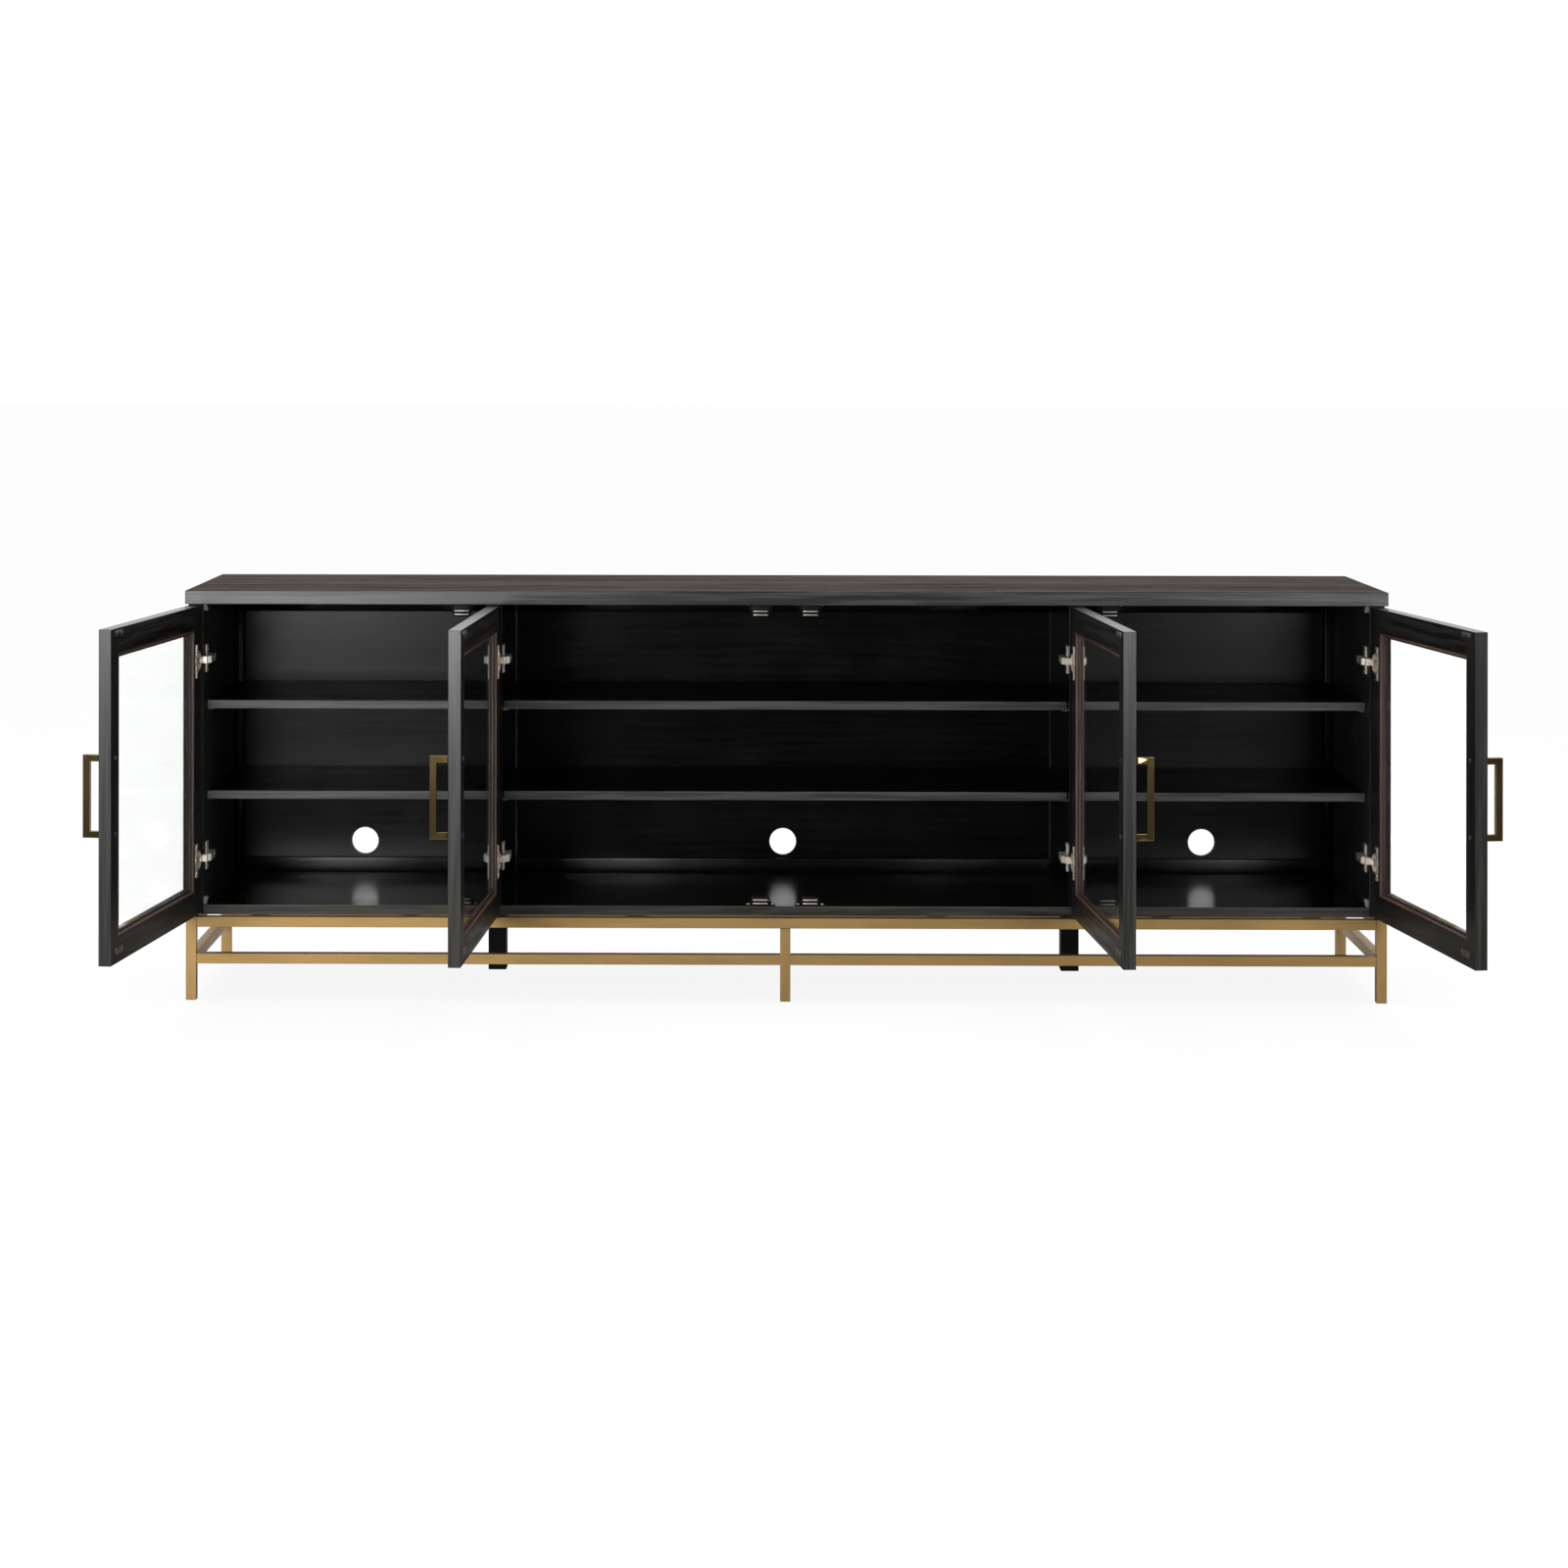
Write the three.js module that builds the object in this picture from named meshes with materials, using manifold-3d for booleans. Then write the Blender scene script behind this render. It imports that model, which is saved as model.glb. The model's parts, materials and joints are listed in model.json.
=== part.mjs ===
// Four-door media cabinet: veneered carcass with three bays, two shelves in each bay,
// four glazed frame doors on concealed hinges, and a welded square-tube base.
//
// Millimetres, +X to the right, +Y to the back, +Z up.
// The origin is on the floor, under the middle of the front centre leg.
import * as THREE from "three";
import { mergeVertices } from "three/addons/utils/BufferGeometryUtils.js";
import Module from "manifold-3d";

const wasm = await Module();
wasm.setup();

// ---------------------------------------------------------------- driving dimensions

const overall = { length: 2235, depth: 457, height: 762 };
const fit = 0.3;                 // gap left between touching pieces

const tube = 19;                 // square tube of the base
const tubeSetback = 2;           // base faces sit this far inside the top's edges
const baseHeight = 155;          // top of the base frame
const lowerRailUnderside = 68;

const topThickness = 25;
const sideThickness = 28;
const bottomThickness = 18;
const shelfThickness = 16;
const backThickness = 9;
const carcassFront = 28;         // depth of the carcass front edges behind the top's edge
const backPanelFront = 444;      // depth of the back panels' front faces
const shelfFront = 65;
const shelfBack = 442;
const shelfSideGap = 1.5;
const shelfTops = { upper: 552, lower: 382 };

const cableHole = { radius: 26.5, height: 234, outerBayX: 830 };
const supportLeg = { width: 35, front: 322 };

const door = {
  pitch: 558,                    // spacing of the door joints along the front
  gap: 3,
  thickness: 22,
  front: 3,                      // depth of the closed door's outer face
  underside: 159,
  top: 734,
  railWidth: 44,                 // frame width measured on the inner face
  rebate: 8.5,                   // extra frame width of the lip in front of the glass
  lip: 10,                       // thickness of that lip
  glass: 4,
};
const panelOverlap = 1;          // door edges stop this far short of the panel faces
const pivot = { inset: 8, depth: 6 };        // from the door's hinge edge and outer face
const hinge = {
  fromDoorEnd: 102.5,
  cupInset: 21.5,                // cup centre from the hinge edge
  cupBore: 17.5,
  cupRadius: 17.2,
  cupWall: 1,
  cupDepth: 10.7,
  rimRadius: 18,
  flange: { width: 13, height: 62, thickness: 1.6, beyondCup: 9.5 },
  armHeight: 13,
  plate: { start: 44, end: 68, height: 52, thickness: 2.3 },
};
const handle = {
  length: 142.5,
  bar: 11.5,
  projection: 34,
  fromFreeEdge: 25,
  foot: { width: 16, height: 7 },
};

// Degrees each door stands open at rest, from left to right.
const restAngles = [96.9, 92.8, 93.7, 97.8];

// ---------------------------------------------------------------- derived places

const halfLength = overall.length / 2;
const frontY = -(tubeSetback + tube / 2);
const depthToY = (depth) => frontY + depth;
const topUnderside = overall.height - topThickness;
const sideOuter = halfLength - tubeSetback;
const sideInner = sideOuter - sideThickness;
const partitionOuter = door.pitch - door.gap / 2 + panelOverlap;
const partitionInner = partitionOuter - sideThickness;
const legInner = sideOuter - tube;
const baseBack = overall.depth - tubeSetback;
const bottomTop = baseHeight + fit + bottomThickness;
const doorWidth = door.pitch - door.gap;
const doorHeight = door.top - door.underside;
const pivotToFreeEdge = doorWidth - pivot.inset;
const panelInnerFromPivot = sideThickness - panelOverlap - pivot.inset;
const hingeHeights = {
  upper: door.top - hinge.fromDoorEnd,
  lower: door.underside + hinge.fromDoorEnd,
};

// ---------------------------------------------------------------- materials

function finish(color, roughness, metalness) {
  return new THREE.MeshStandardMaterial({ color, roughness, metalness });
}

const materials = {
  oak: finish(0x2e2a28, 0.5, 0),
  interior: finish(0x16140f, 0.4, 0),
  gold: finish(0xa88a58, 0.35, 1),
  brass: finish(0xc9a860, 0.18, 1),
  nickel: finish(0xc8c6c0, 0.25, 1),
  black: finish(0x18181a, 0.6, 0),
  glass: new THREE.MeshStandardMaterial({
    color: 0xc4ccc8,
    roughness: 0.05,
    metalness: 0,
    transparent: true,
    opacity: 0.3,
  }),
};

// ---------------------------------------------------------------- solids and meshes

// Box between two opposite corners, given as ranges along each axis in either order.
function box(xs, ys, zs) {
  const size = [xs, ys, zs].map(([a, b]) => Math.abs(b - a));
  const middle = [xs, ys, zs].map(([a, b]) => (a + b) / 2);
  return new THREE.BoxGeometry(...size).translate(...middle);
}

function toSolid(geometry) {
  const bare = geometry.clone();
  bare.deleteAttribute("normal");
  bare.deleteAttribute("uv");
  const merged = mergeVertices(bare, 1e-4);
  return new wasm.Manifold(new wasm.Mesh({
    numProp: 3,
    vertProperties: new Float32Array(merged.attributes.position.array),
    triVerts: new Uint32Array(merged.index.array),
  }));
}

function toGeometry(solid) {
  const mesh = solid.getMesh();
  const geometry = new THREE.BufferGeometry();
  geometry.setAttribute("position", new THREE.BufferAttribute(new Float32Array(mesh.vertProperties), 3));
  geometry.setIndex(new THREE.BufferAttribute(new Uint32Array(mesh.triVerts), 1));
  geometry.computeVertexNormals();
  return geometry;
}

function join(...geometries) {
  return toGeometry(geometries.map(toSolid).reduce((whole, piece) => whole.add(piece)));
}

function cut(geometry, ...cutters) {
  return toGeometry(cutters.map(toSolid).reduce((whole, cutter) => whole.subtract(cutter), toSolid(geometry)));
}

// Cylinder whose axis runs front to back.
function crosswiseCylinder(radius, x, ys, z) {
  return new THREE.CylinderGeometry(radius, radius, Math.abs(ys[1] - ys[0]), 24)
    .translate(x, (ys[0] + ys[1]) / 2, 0)
    .translate(0, 0, z);
}

function named(name, geometry, material) {
  const mesh = new THREE.Mesh(geometry, material);
  mesh.name = name;
  return mesh;
}

const cabinet = new THREE.Group();

function addBox(name, xs, depths, zs, material) {
  cabinet.add(named(name, box(xs, depths.map(depthToY), zs), material));
}

// Builds the same piece on the left and on the right of the middle.
function addPair(name, xs, depths, zs, material) {
  for (const [side, sign] of [["left", -1], ["right", 1]]) {
    addBox(name.replace("SIDE", side), xs.map((x) => sign * x), depths, zs, material);
  }
}

// ---------------------------------------------------------------- welded base

function addBase() {
  const front = [tubeSetback, tubeSetback + tube];
  const back = [baseBack - tube, baseBack];
  const between = [front[1] + fit, back[0] - fit];
  const topRail = [baseHeight - tube, baseHeight];
  const lowerRail = [lowerRailUnderside, lowerRailUnderside + tube];
  const cornerLeg = [legInner, sideOuter];
  const span = [-legInner + fit, legInner - fit];

  addPair("front_SIDE_leg", cornerLeg, front, [0, baseHeight], materials.gold);
  addPair("rear_SIDE_leg", cornerLeg, back, [0, baseHeight], materials.gold);
  addBox("front_centre_leg", [-tube / 2, tube / 2], front, [0, topRail[0] - fit], materials.gold);
  addBox("front_top_rail", span, front, topRail, materials.gold);
  addBox("rear_top_rail", span, back, topRail, materials.gold);
  addBox("rear_lower_rail", span, back, lowerRail, materials.gold);
  addPair("front_SIDE_lower_rail", [tube / 2 + fit, legInner - fit], front, lowerRail, materials.gold);
  addPair("SIDE_top_rail", cornerLeg, between, topRail, materials.gold);
  addPair("SIDE_lower_rail", cornerLeg, between, lowerRail, materials.gold);

  const legX = [door.pitch - supportLeg.width / 2, door.pitch + supportLeg.width / 2];
  const legDepths = [supportLeg.front, supportLeg.front + supportLeg.width];
  addPair("SIDE_support_leg", legX, legDepths, [0, baseHeight], materials.black);
}

// ---------------------------------------------------------------- carcass

function addBackPanel(name, xs, holeX) {
  const ys = [depthToY(backPanelFront), depthToY(backPanelFront + backThickness)];
  const panel = box(xs, ys, [bottomTop + fit, topUnderside - fit]);
  const hole = crosswiseCylinder(cableHole.radius, holeX, [ys[0] - 5, ys[1] + 5], cableHole.height);
  cabinet.add(named(name, cut(panel, hole), materials.interior));
}

function addCarcass() {
  const depths = [carcassFront, baseBack];
  const upright = [bottomTop + fit, topUnderside - fit];
  addBox(
    "top_panel", [-halfLength, halfLength], [0, overall.depth], [topUnderside, overall.height],
    materials.oak,
  );
  addBox(
    "bottom_panel", [-sideInner + fit, sideInner - fit], depths, [baseHeight + fit, bottomTop],
    materials.oak,
  );
  addPair("SIDE_side_panel", [sideInner, sideOuter], depths, [baseHeight + fit, upright[1]], materials.oak);
  addPair("SIDE_partition", [partitionInner, partitionOuter], depths, upright, materials.interior);

  const outerBay = [partitionOuter + fit, sideInner - fit];
  addBackPanel("left_back_panel", outerBay.map((x) => -x), -cableHole.outerBayX);
  addBackPanel("centre_back_panel", [-partitionInner + fit, partitionInner - fit], 0);
  addBackPanel("right_back_panel", outerBay, cableHole.outerBayX);
}

function addShelves() {
  const depths = [shelfFront, shelfBack];
  const outerBay = [partitionOuter + shelfSideGap, sideInner - shelfSideGap];
  const centreHalf = partitionInner - shelfSideGap;
  for (const [level, top] of Object.entries(shelfTops)) {
    const zs = [top - shelfThickness, top];
    addPair(`SIDE_${level}_shelf`, outerBay, depths, zs, materials.interior);
    addBox(`centre_${level}_shelf`, [-centreHalf, centreHalf], depths, zs, materials.interior);
  }
}

// ---------------------------------------------------------------- doors and hinges
//
// A door and its hinges are drawn about the pivot with the door closed: `hand` is 1 when the
// door reaches to the right of its hinges and -1 when it reaches to the left, and `back` is
// measured from the pivot towards the cabinet's back.

const outerFace = -pivot.depth;
const innerFace = door.thickness - pivot.depth;

function doorFrameGeometry(hand) {
  const opening = (inset) => [
    [hand * (inset - pivot.inset), hand * (pivotToFreeEdge - inset)],
    [door.underside + inset, door.top - inset],
  ];
  const whole = opening(0);
  const sight = opening(door.railWidth + door.rebate);
  const rebate = opening(door.railWidth);
  const clear = 1;
  const cups = Object.values(hingeHeights).map((z) => crosswiseCylinder(
    hinge.cupBore, hand * (hinge.cupInset - pivot.inset), [innerFace - hinge.cupDepth - fit, innerFace + clear], z,
  ));
  return cut(
    box(whole[0], [outerFace, innerFace], whole[1]),
    box(sight[0], [outerFace - clear, innerFace + clear], sight[1]),
    box(rebate[0], [outerFace + door.lip, innerFace + clear], rebate[1]),
    ...cups,
  );
}

function doorGlassGeometry(hand) {
  const inset = door.railWidth + 1;
  const front = outerFace + door.lip + fit;
  return box(
    [hand * (inset - pivot.inset), hand * (pivotToFreeEdge - inset)],
    [front, front + door.glass],
    [door.underside + inset, door.top - inset],
  );
}

// Square bar on two square posts, each post flaring out where it meets the door.
function handleGeometry(hand) {
  const x = hand * (pivotToFreeEdge - handle.fromFreeEdge);
  const z = door.underside + doorHeight / 2;
  const reach = handle.projection - handle.bar / 2;
  const toCorner = Math.SQRT2 / 2;
  const flare = new THREE.QuadraticBezierCurve(
    new THREE.Vector2(handle.foot.width * toCorner, 0),
    new THREE.Vector2(handle.bar * toCorner, handle.foot.height * 0.3),
    new THREE.Vector2(handle.bar * toCorner, handle.foot.height),
  );
  const profile = [new THREE.Vector2(0, 0), ...flare.getPoints(4)];
  profile.push(new THREE.Vector2(handle.bar * toCorner, reach));
  profile.push(new THREE.Vector2(0, reach));
  const postZ = (handle.length - handle.bar) / 2;
  const posts = [-postZ, postZ].map((dz) => new THREE.LatheGeometry(profile, 4)
    .rotateY(Math.PI / 4)
    .rotateX(Math.PI)
    .translate(x, outerFace - fit, z + dz));
  const half = handle.bar / 2;
  const bar = box(
    [x - half, x + half],
    [outerFace - handle.projection, outerFace - handle.projection + handle.bar],
    [z - handle.length / 2, z + handle.length / 2],
  );
  return join(bar, ...posts);
}

// Hinge cup let into the door, with its rim. The screw flange stands above and below it, nearer the glass.
function hingeCupGeometry(hand, z) {
  const x = hand * (hinge.cupInset - pivot.inset);
  const seat = innerFace + fit;
  const face = seat + hinge.flange.thickness;
  const bottom = innerFace - hinge.cupDepth;
  const inner = hinge.cupRadius - hinge.cupWall;
  const profile = [
    [0, bottom],
    [hinge.cupRadius, bottom],
    [hinge.cupRadius, seat],
    [hinge.rimRadius, seat],
    [hinge.rimRadius, face],
    [inner, face],
    [inner, bottom + hinge.cupWall],
    [0, bottom + hinge.cupWall],
  ].map(([radius, back]) => new THREE.Vector2(radius, back));
  const cup = new THREE.LatheGeometry(profile, 24).translate(x, 0, z);
  const halfWidth = hinge.flange.width / 2;
  const halfHeight = hinge.flange.height / 2;
  const middle = x + hand * hinge.flange.beyondCup;
  const plate = box([middle - halfWidth, middle + halfWidth], [seat, face], [z - halfHeight, z + halfHeight]);
  const mouth = crosswiseCylinder(inner + hinge.cupWall / 2, x, [seat - 1, face + 1], z);
  return join(cup, cut(plate, mouth));
}

// Cranked hinge arm on its mounting plate, screwed to the panel that carries the door.
function hingeArmGeometry(hand, z) {
  const foot = panelInnerFromPivot + fit;
  const seat = foot + hinge.plate.thickness;
  const armEnd = hinge.plate.end + 10;
  const outline = [
    [18, 8],
    [27.5, 8],
    [27.5, 17.5],
    [seat + 12, 23],
    [seat + 12, armEnd],
    [seat - 0.5, armEnd],
    [seat - 0.5, 22],
    [18, 16.5],
  ];
  const shape = new THREE.Shape(outline.map(([across, back]) => new THREE.Vector2(hand * across, back)));
  const half = hinge.armHeight / 2;
  const arm = new THREE.ExtrudeGeometry(shape, { depth: hinge.armHeight, bevelEnabled: false })
    .translate(0, 0, z - half);
  const wings = box(
    [hand * foot, hand * seat],
    [hinge.plate.start, hinge.plate.end],
    [z - hinge.plate.height / 2, z + hinge.plate.height / 2],
  );
  return join(arm, wings);
}

function addDoor(name, hand, hingeEdge, restAngle) {
  const leaf = new THREE.Group();
  leaf.add(named(`${name}_frame`, doorFrameGeometry(hand), materials.oak));
  leaf.add(named(`${name}_glass`, doorGlassGeometry(hand), materials.glass));
  leaf.add(named(`${name}_handle`, handleGeometry(hand), materials.brass));
  const arms = new THREE.Group();
  for (const [level, z] of Object.entries(hingeHeights)) {
    leaf.add(named(`${name}_${level}_hinge_cup`, hingeCupGeometry(hand, z), materials.nickel));
    arms.add(named(`${name}_${level}_hinge_arm`, hingeArmGeometry(hand, z), materials.nickel));
  }
  const place = [hingeEdge + hand * pivot.inset, depthToY(door.front + pivot.depth), 0];
  arms.position.set(...place);
  leaf.position.set(...place);
  leaf.rotation.z = -hand * THREE.MathUtils.degToRad(restAngle);
  cabinet.add(arms, leaf);
}

function addDoors() {
  const outerEdge = 2 * door.pitch - door.gap / 2;
  const innerEdge = door.pitch - door.gap / 2;
  addDoor("left_door", 1, -outerEdge, restAngles[0]);
  addDoor("centre_left_door", 1, -innerEdge, restAngles[1]);
  addDoor("centre_right_door", -1, innerEdge, restAngles[2]);
  addDoor("right_door", -1, outerEdge, restAngles[3]);
}

addBase();
addCarcass();
addShelves();
addDoors();

export default cabinet;
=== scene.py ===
"""Long media cabinet in dark brushed oak, with four glazed doors and a gold square-tube base.

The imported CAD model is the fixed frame. This script dresses its panels, rails, doors and hinges,
and adds what the CAD model leaves out: glazing beads, handle and hinge screws, hinge links,
magnetic catches and their strike plates, shelf pins, back rails, corner battens and brackets.

All lengths are metres, with +X to the right, +Y to the back and +Z up.
"""

import json
import logging
import math
from dataclasses import dataclass, field
from enum import Enum
from typing import Optional, Sequence

import bmesh
import bpy
from bpy.types import Material, Node, NodeSocket, NodeTree, Object
from mathutils import Matrix, Vector


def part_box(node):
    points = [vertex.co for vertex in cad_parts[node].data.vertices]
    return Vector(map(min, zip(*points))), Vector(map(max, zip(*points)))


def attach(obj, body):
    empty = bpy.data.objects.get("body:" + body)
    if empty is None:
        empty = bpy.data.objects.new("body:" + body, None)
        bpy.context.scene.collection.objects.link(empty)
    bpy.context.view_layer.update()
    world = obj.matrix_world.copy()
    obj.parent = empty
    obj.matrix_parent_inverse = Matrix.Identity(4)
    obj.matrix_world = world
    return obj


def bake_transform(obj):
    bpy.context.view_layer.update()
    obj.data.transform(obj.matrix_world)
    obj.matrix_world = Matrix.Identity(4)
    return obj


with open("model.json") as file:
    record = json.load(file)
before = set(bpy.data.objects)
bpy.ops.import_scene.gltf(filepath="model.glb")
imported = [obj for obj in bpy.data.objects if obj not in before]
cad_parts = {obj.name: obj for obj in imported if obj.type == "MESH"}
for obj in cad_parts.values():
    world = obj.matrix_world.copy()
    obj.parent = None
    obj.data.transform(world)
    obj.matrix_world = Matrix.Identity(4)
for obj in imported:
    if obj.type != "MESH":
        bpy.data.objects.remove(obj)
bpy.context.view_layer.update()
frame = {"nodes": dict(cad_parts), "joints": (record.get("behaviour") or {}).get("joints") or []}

LOG = logging.getLogger("media_cabinet")

DOORS = ("left_door", "centre_left_door", "centre_right_door", "right_door")
GRAIN_START = 0.2  # where the first door's grain is cut from
GRAIN_STEP = 0.83  # how far on the next door's grain is cut
EDGE_MARGIN = 0.0006  # how close to a board's edge its lipping starts
LIP_DEPTH = 0.0007  # how far a lipped edge reaches back from its face
BUMP_REACH = 0.0006  # depth of the wood's relief
FINE_BUMP_REACH = 0.0002  # depth of the relief on metal, plastic and paint
FIT_GAP = 0.0003  # air between fitted pieces

Point = tuple[float, float, float]
Colour = tuple[float, float, float]
Pair = tuple[float, float]
Size = tuple[float, float, float]


class Hand(Enum):
    """The side on which a door hangs, seen from the front."""

    HINGED_LEFT = 1
    HINGED_RIGHT = -1


class Grain(Enum):
    """The axis that wood fibres run along, as an order of the three coordinates."""

    ALONG_X = "XYZ"
    ALONG_Y = "YXZ"
    ALONG_Z = "ZYX"


class Level(Enum):
    """The upper or the lower one of a pair of hinges or catches."""

    UPPER = "upper"
    LOWER = "lower"


# ------------------------------------------------------------------ node trees


class NodeBoard:
    """Short ways to lay out the nodes of one tree."""

    def __init__(self, tree: NodeTree) -> None:
        """Keeps the tree that the nodes go into.

        Args:
            tree: the tree of a material, a world or a node group.
        """
        self.tree = tree

    def add(self, kind: str, inputs: Optional[dict] = None, **settings: object) -> Node:
        """Adds a node, sets its properties and fills its inputs.

        Args:
            kind: the node's type name.
            inputs: values or sockets by input name or index.
            settings: properties of the node.

        Returns:
            The new node.
        """
        node = self.tree.nodes.new(kind)
        for name, value in settings.items():
            setattr(node, name, value)
        for key, value in (inputs or {}).items():
            if isinstance(value, NodeSocket):
                self.tree.links.new(value, node.inputs[key])
            else:
                node.inputs[key].default_value = value
        return node

    def math(self, operation: str, *values: object, clamp: bool = False) -> NodeSocket:
        """Adds a Math node.

        Args:
            operation: what the node works out.
            values: numbers or sockets.
            clamp: keeps the result between 0 and 1.

        Returns:
            The result.
        """
        inputs = dict(enumerate(values))
        return self.add("ShaderNodeMath", inputs, operation=operation, use_clamp=clamp).outputs[0]

    def vector(self, operation: str, *values: object) -> NodeSocket:
        """Adds a Vector Math node.

        Args:
            operation: what the node works out.
            values: vectors or sockets.

        Returns:
            The resulting vector.
        """
        inputs = dict(enumerate(values))
        return self.add("ShaderNodeVectorMath", inputs, operation=operation).outputs[0]

    def noise(self, vector: NodeSocket, scale: float = 1.0, detail: float = 2.0) -> NodeSocket:
        """Adds a noise pattern around 0.5.

        Args:
            vector: where it is read.
            scale: cycles for each unit of the vector.
            detail: octaves of finer noise.

        Returns:
            The noise value.
        """
        inputs = {"Vector": vector, "Scale": scale, "Detail": detail, "Roughness": 0.55}
        return self.add("ShaderNodeTexNoise", inputs).outputs["Fac"]

    def span(self, value: NodeSocket, low: float, high: float, to: Pair = (0.0, 1.0)) -> NodeSocket:
        """Maps the range from low to high onto another range, with smooth ends.

        Args:
            value: the value to map.
            low: start of its range.
            high: end of its range.
            to: the range that comes out.

        Returns:
            The mapped value.
        """
        inputs = {"Value": value, "From Min": low, "From Max": high, "To Min": to[0], "To Max": to[1]}
        return self.add("ShaderNodeMapRange", inputs, interpolation_type="SMOOTHSTEP").outputs[0]

    def blend(self, factor: object, first: object, second: object, mode: str = "MIX") -> NodeSocket:
        """Mixes two colours.

        Args:
            factor: share of the second colour.
            first: a colour or a socket.
            second: a colour or a socket.
            mode: the blend type.

        Returns:
            The mixed colour.
        """
        node = self.add("ShaderNodeMix", {"Factor": factor}, data_type="RGBA", blend_type=mode)
        for key, value in ((6, first), (7, second)):
            if isinstance(value, NodeSocket):
                self.tree.links.new(value, node.inputs[key])
            else:
                node.inputs[key].default_value = (*value, 1.0)
        return node.outputs[2]

    def bump(self, shader: Node, height: NodeSocket, strength: float, distance: float) -> None:
        """Raises and sinks a shader's surface.

        Args:
            shader: the Principled shader.
            height: the height of the relief.
            strength: how strong it is.
            distance: depth of a full step of height.
        """
        inputs = {"Height": height, "Strength": strength, "Distance": distance}
        self.link(self.add("ShaderNodeBump", inputs).outputs[0], shader, "Normal")

    def link(self, value: NodeSocket, node: Node, name: str) -> None:
        """Feeds a value to a node's named input.

        Args:
            value: the value.
            node: the node that takes it.
            name: the input's name.
        """
        self.tree.links.new(value, node.inputs[name])

    def reorder(self, vector: NodeSocket, order: str) -> NodeSocket:
        """Puts a vector's coordinates in another order.

        Args:
            vector: the vector to take apart.
            order: its axes in their new order, such as "ZYX".

        Returns:
            The reordered vector.
        """
        parts = self.add("ShaderNodeSeparateXYZ", {0: vector}).outputs
        inputs = {number: parts[axis] for number, axis in enumerate(order)}
        return self.add("ShaderNodeCombineXYZ", inputs).outputs[0]


def start_group(
    name: str, inputs: dict[str, object], outputs: Sequence[str],
) -> tuple[NodeTree, NodeBoard, Node, Node]:
    """Starts a shader node group with named sockets.

    Args:
        name: the group's name.
        inputs: each input's name with its first value, where None is a vector.
        outputs: names of the values that come out.

    Returns:
        The group, its board, its input node and its output node.
    """
    group = bpy.data.node_groups.new(name, "ShaderNodeTree")
    for label, value in inputs.items():
        kind = "NodeSocketVector" if value is None else "NodeSocketFloat"
        socket = group.interface.new_socket(label, in_out="INPUT", socket_type=kind)
        if value is not None:
            socket.default_value = value
    for label in outputs:
        group.interface.new_socket(label, in_out="OUTPUT", socket_type="NodeSocketFloat")
    board = NodeBoard(group)
    return group, board, board.add("NodeGroupInput"), board.add("NodeGroupOutput")


def oak_grain_group() -> NodeTree:
    """Makes the figure of sliced oak, with fibres along the first coordinate.

    Returns:
        A group with Figure, Pores and Height outputs.
    """
    inputs = {"Vector": None, "Ring Density": 46.0, "Waviness": 1.6, "Pore Contrast": 1.0}
    group, board, source, result = start_group("oak_grain", inputs, ("Figure", "Pores", "Height"))
    place = source.outputs["Vector"]
    drift = board.noise(board.vector("MULTIPLY", place, (1.7, 9.0, 9.0)), detail=3.0)
    parts = board.add("ShaderNodeSeparateXYZ", {0: place})
    across = board.math("ADD", parts.outputs[2], board.math("MULTIPLY", parts.outputs[1], 0.8))
    rings = board.math("MULTIPLY", across, source.outputs["Ring Density"])
    bend = board.math("MULTIPLY", board.math("SUBTRACT", drift, 0.5), source.outputs["Waviness"])
    turns = board.math("MULTIPLY", board.math("ADD", rings, board.math("MULTIPLY", bend, 4.0)), math.tau)
    band = board.math("MULTIPLY_ADD", board.math("SINE", turns), 0.5, 0.5)
    band = board.math("POWER", band, 1.6)
    streak = board.noise(board.vector("MULTIPLY", place, (5.0, 210.0, 210.0)), detail=4.0)
    streak = board.span(streak, 0.3, 0.7)
    tone = board.span(board.noise(board.vector("MULTIPLY", place, (1.1, 14.0, 14.0))), 0.3, 0.7)
    figure = board.math("MULTIPLY_ADD", band, 0.3, board.math("MULTIPLY", streak, 0.45))
    figure = board.math("MULTIPLY_ADD", tone, 0.25, figure, clamp=True)
    figure = board.span(figure, 0.22, 0.72)
    dashes = board.noise(board.vector("MULTIPLY", place, (26.0, 900.0, 900.0)), detail=1.0)
    pores = board.math("MULTIPLY", board.span(dashes, 0.54, 0.66), board.span(band, 0.0, 1.0, (0.35, 1.0)))
    pores = board.math("MULTIPLY", pores, source.outputs["Pore Contrast"], clamp=True)
    height = board.math("MULTIPLY_ADD", pores, -0.7, board.math("MULTIPLY", streak, 0.5))
    board.link(figure, result, "Figure")
    board.link(pores, result, "Pores")
    board.link(height, result, "Height")
    return group


def handling_group() -> NodeTree:
    """Makes the faint smudges and hairlines that handling leaves on any finish.

    Returns:
        A group with Smudge and Hairlines outputs.
    """
    group, board, source, result = start_group(
        "handling_marks", {"Vector": None, "Amount": 1.0}, ("Smudge", "Hairlines")
    )
    place = source.outputs["Vector"]
    cloud = board.noise(board.vector("MULTIPLY", place, (9.0, 9.0, 9.0)), detail=4.0)
    cloud = board.span(cloud, 0.35, 0.75)
    lines = board.noise(board.vector("MULTIPLY", place, (38.0, 700.0, 460.0)), detail=2.0)
    lines = board.span(lines, 0.62, 0.74)
    board.link(board.math("MULTIPLY", cloud, source.outputs["Amount"]), result, "Smudge")
    board.link(board.math("MULTIPLY", lines, source.outputs["Amount"]), result, "Hairlines")
    return group


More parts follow.
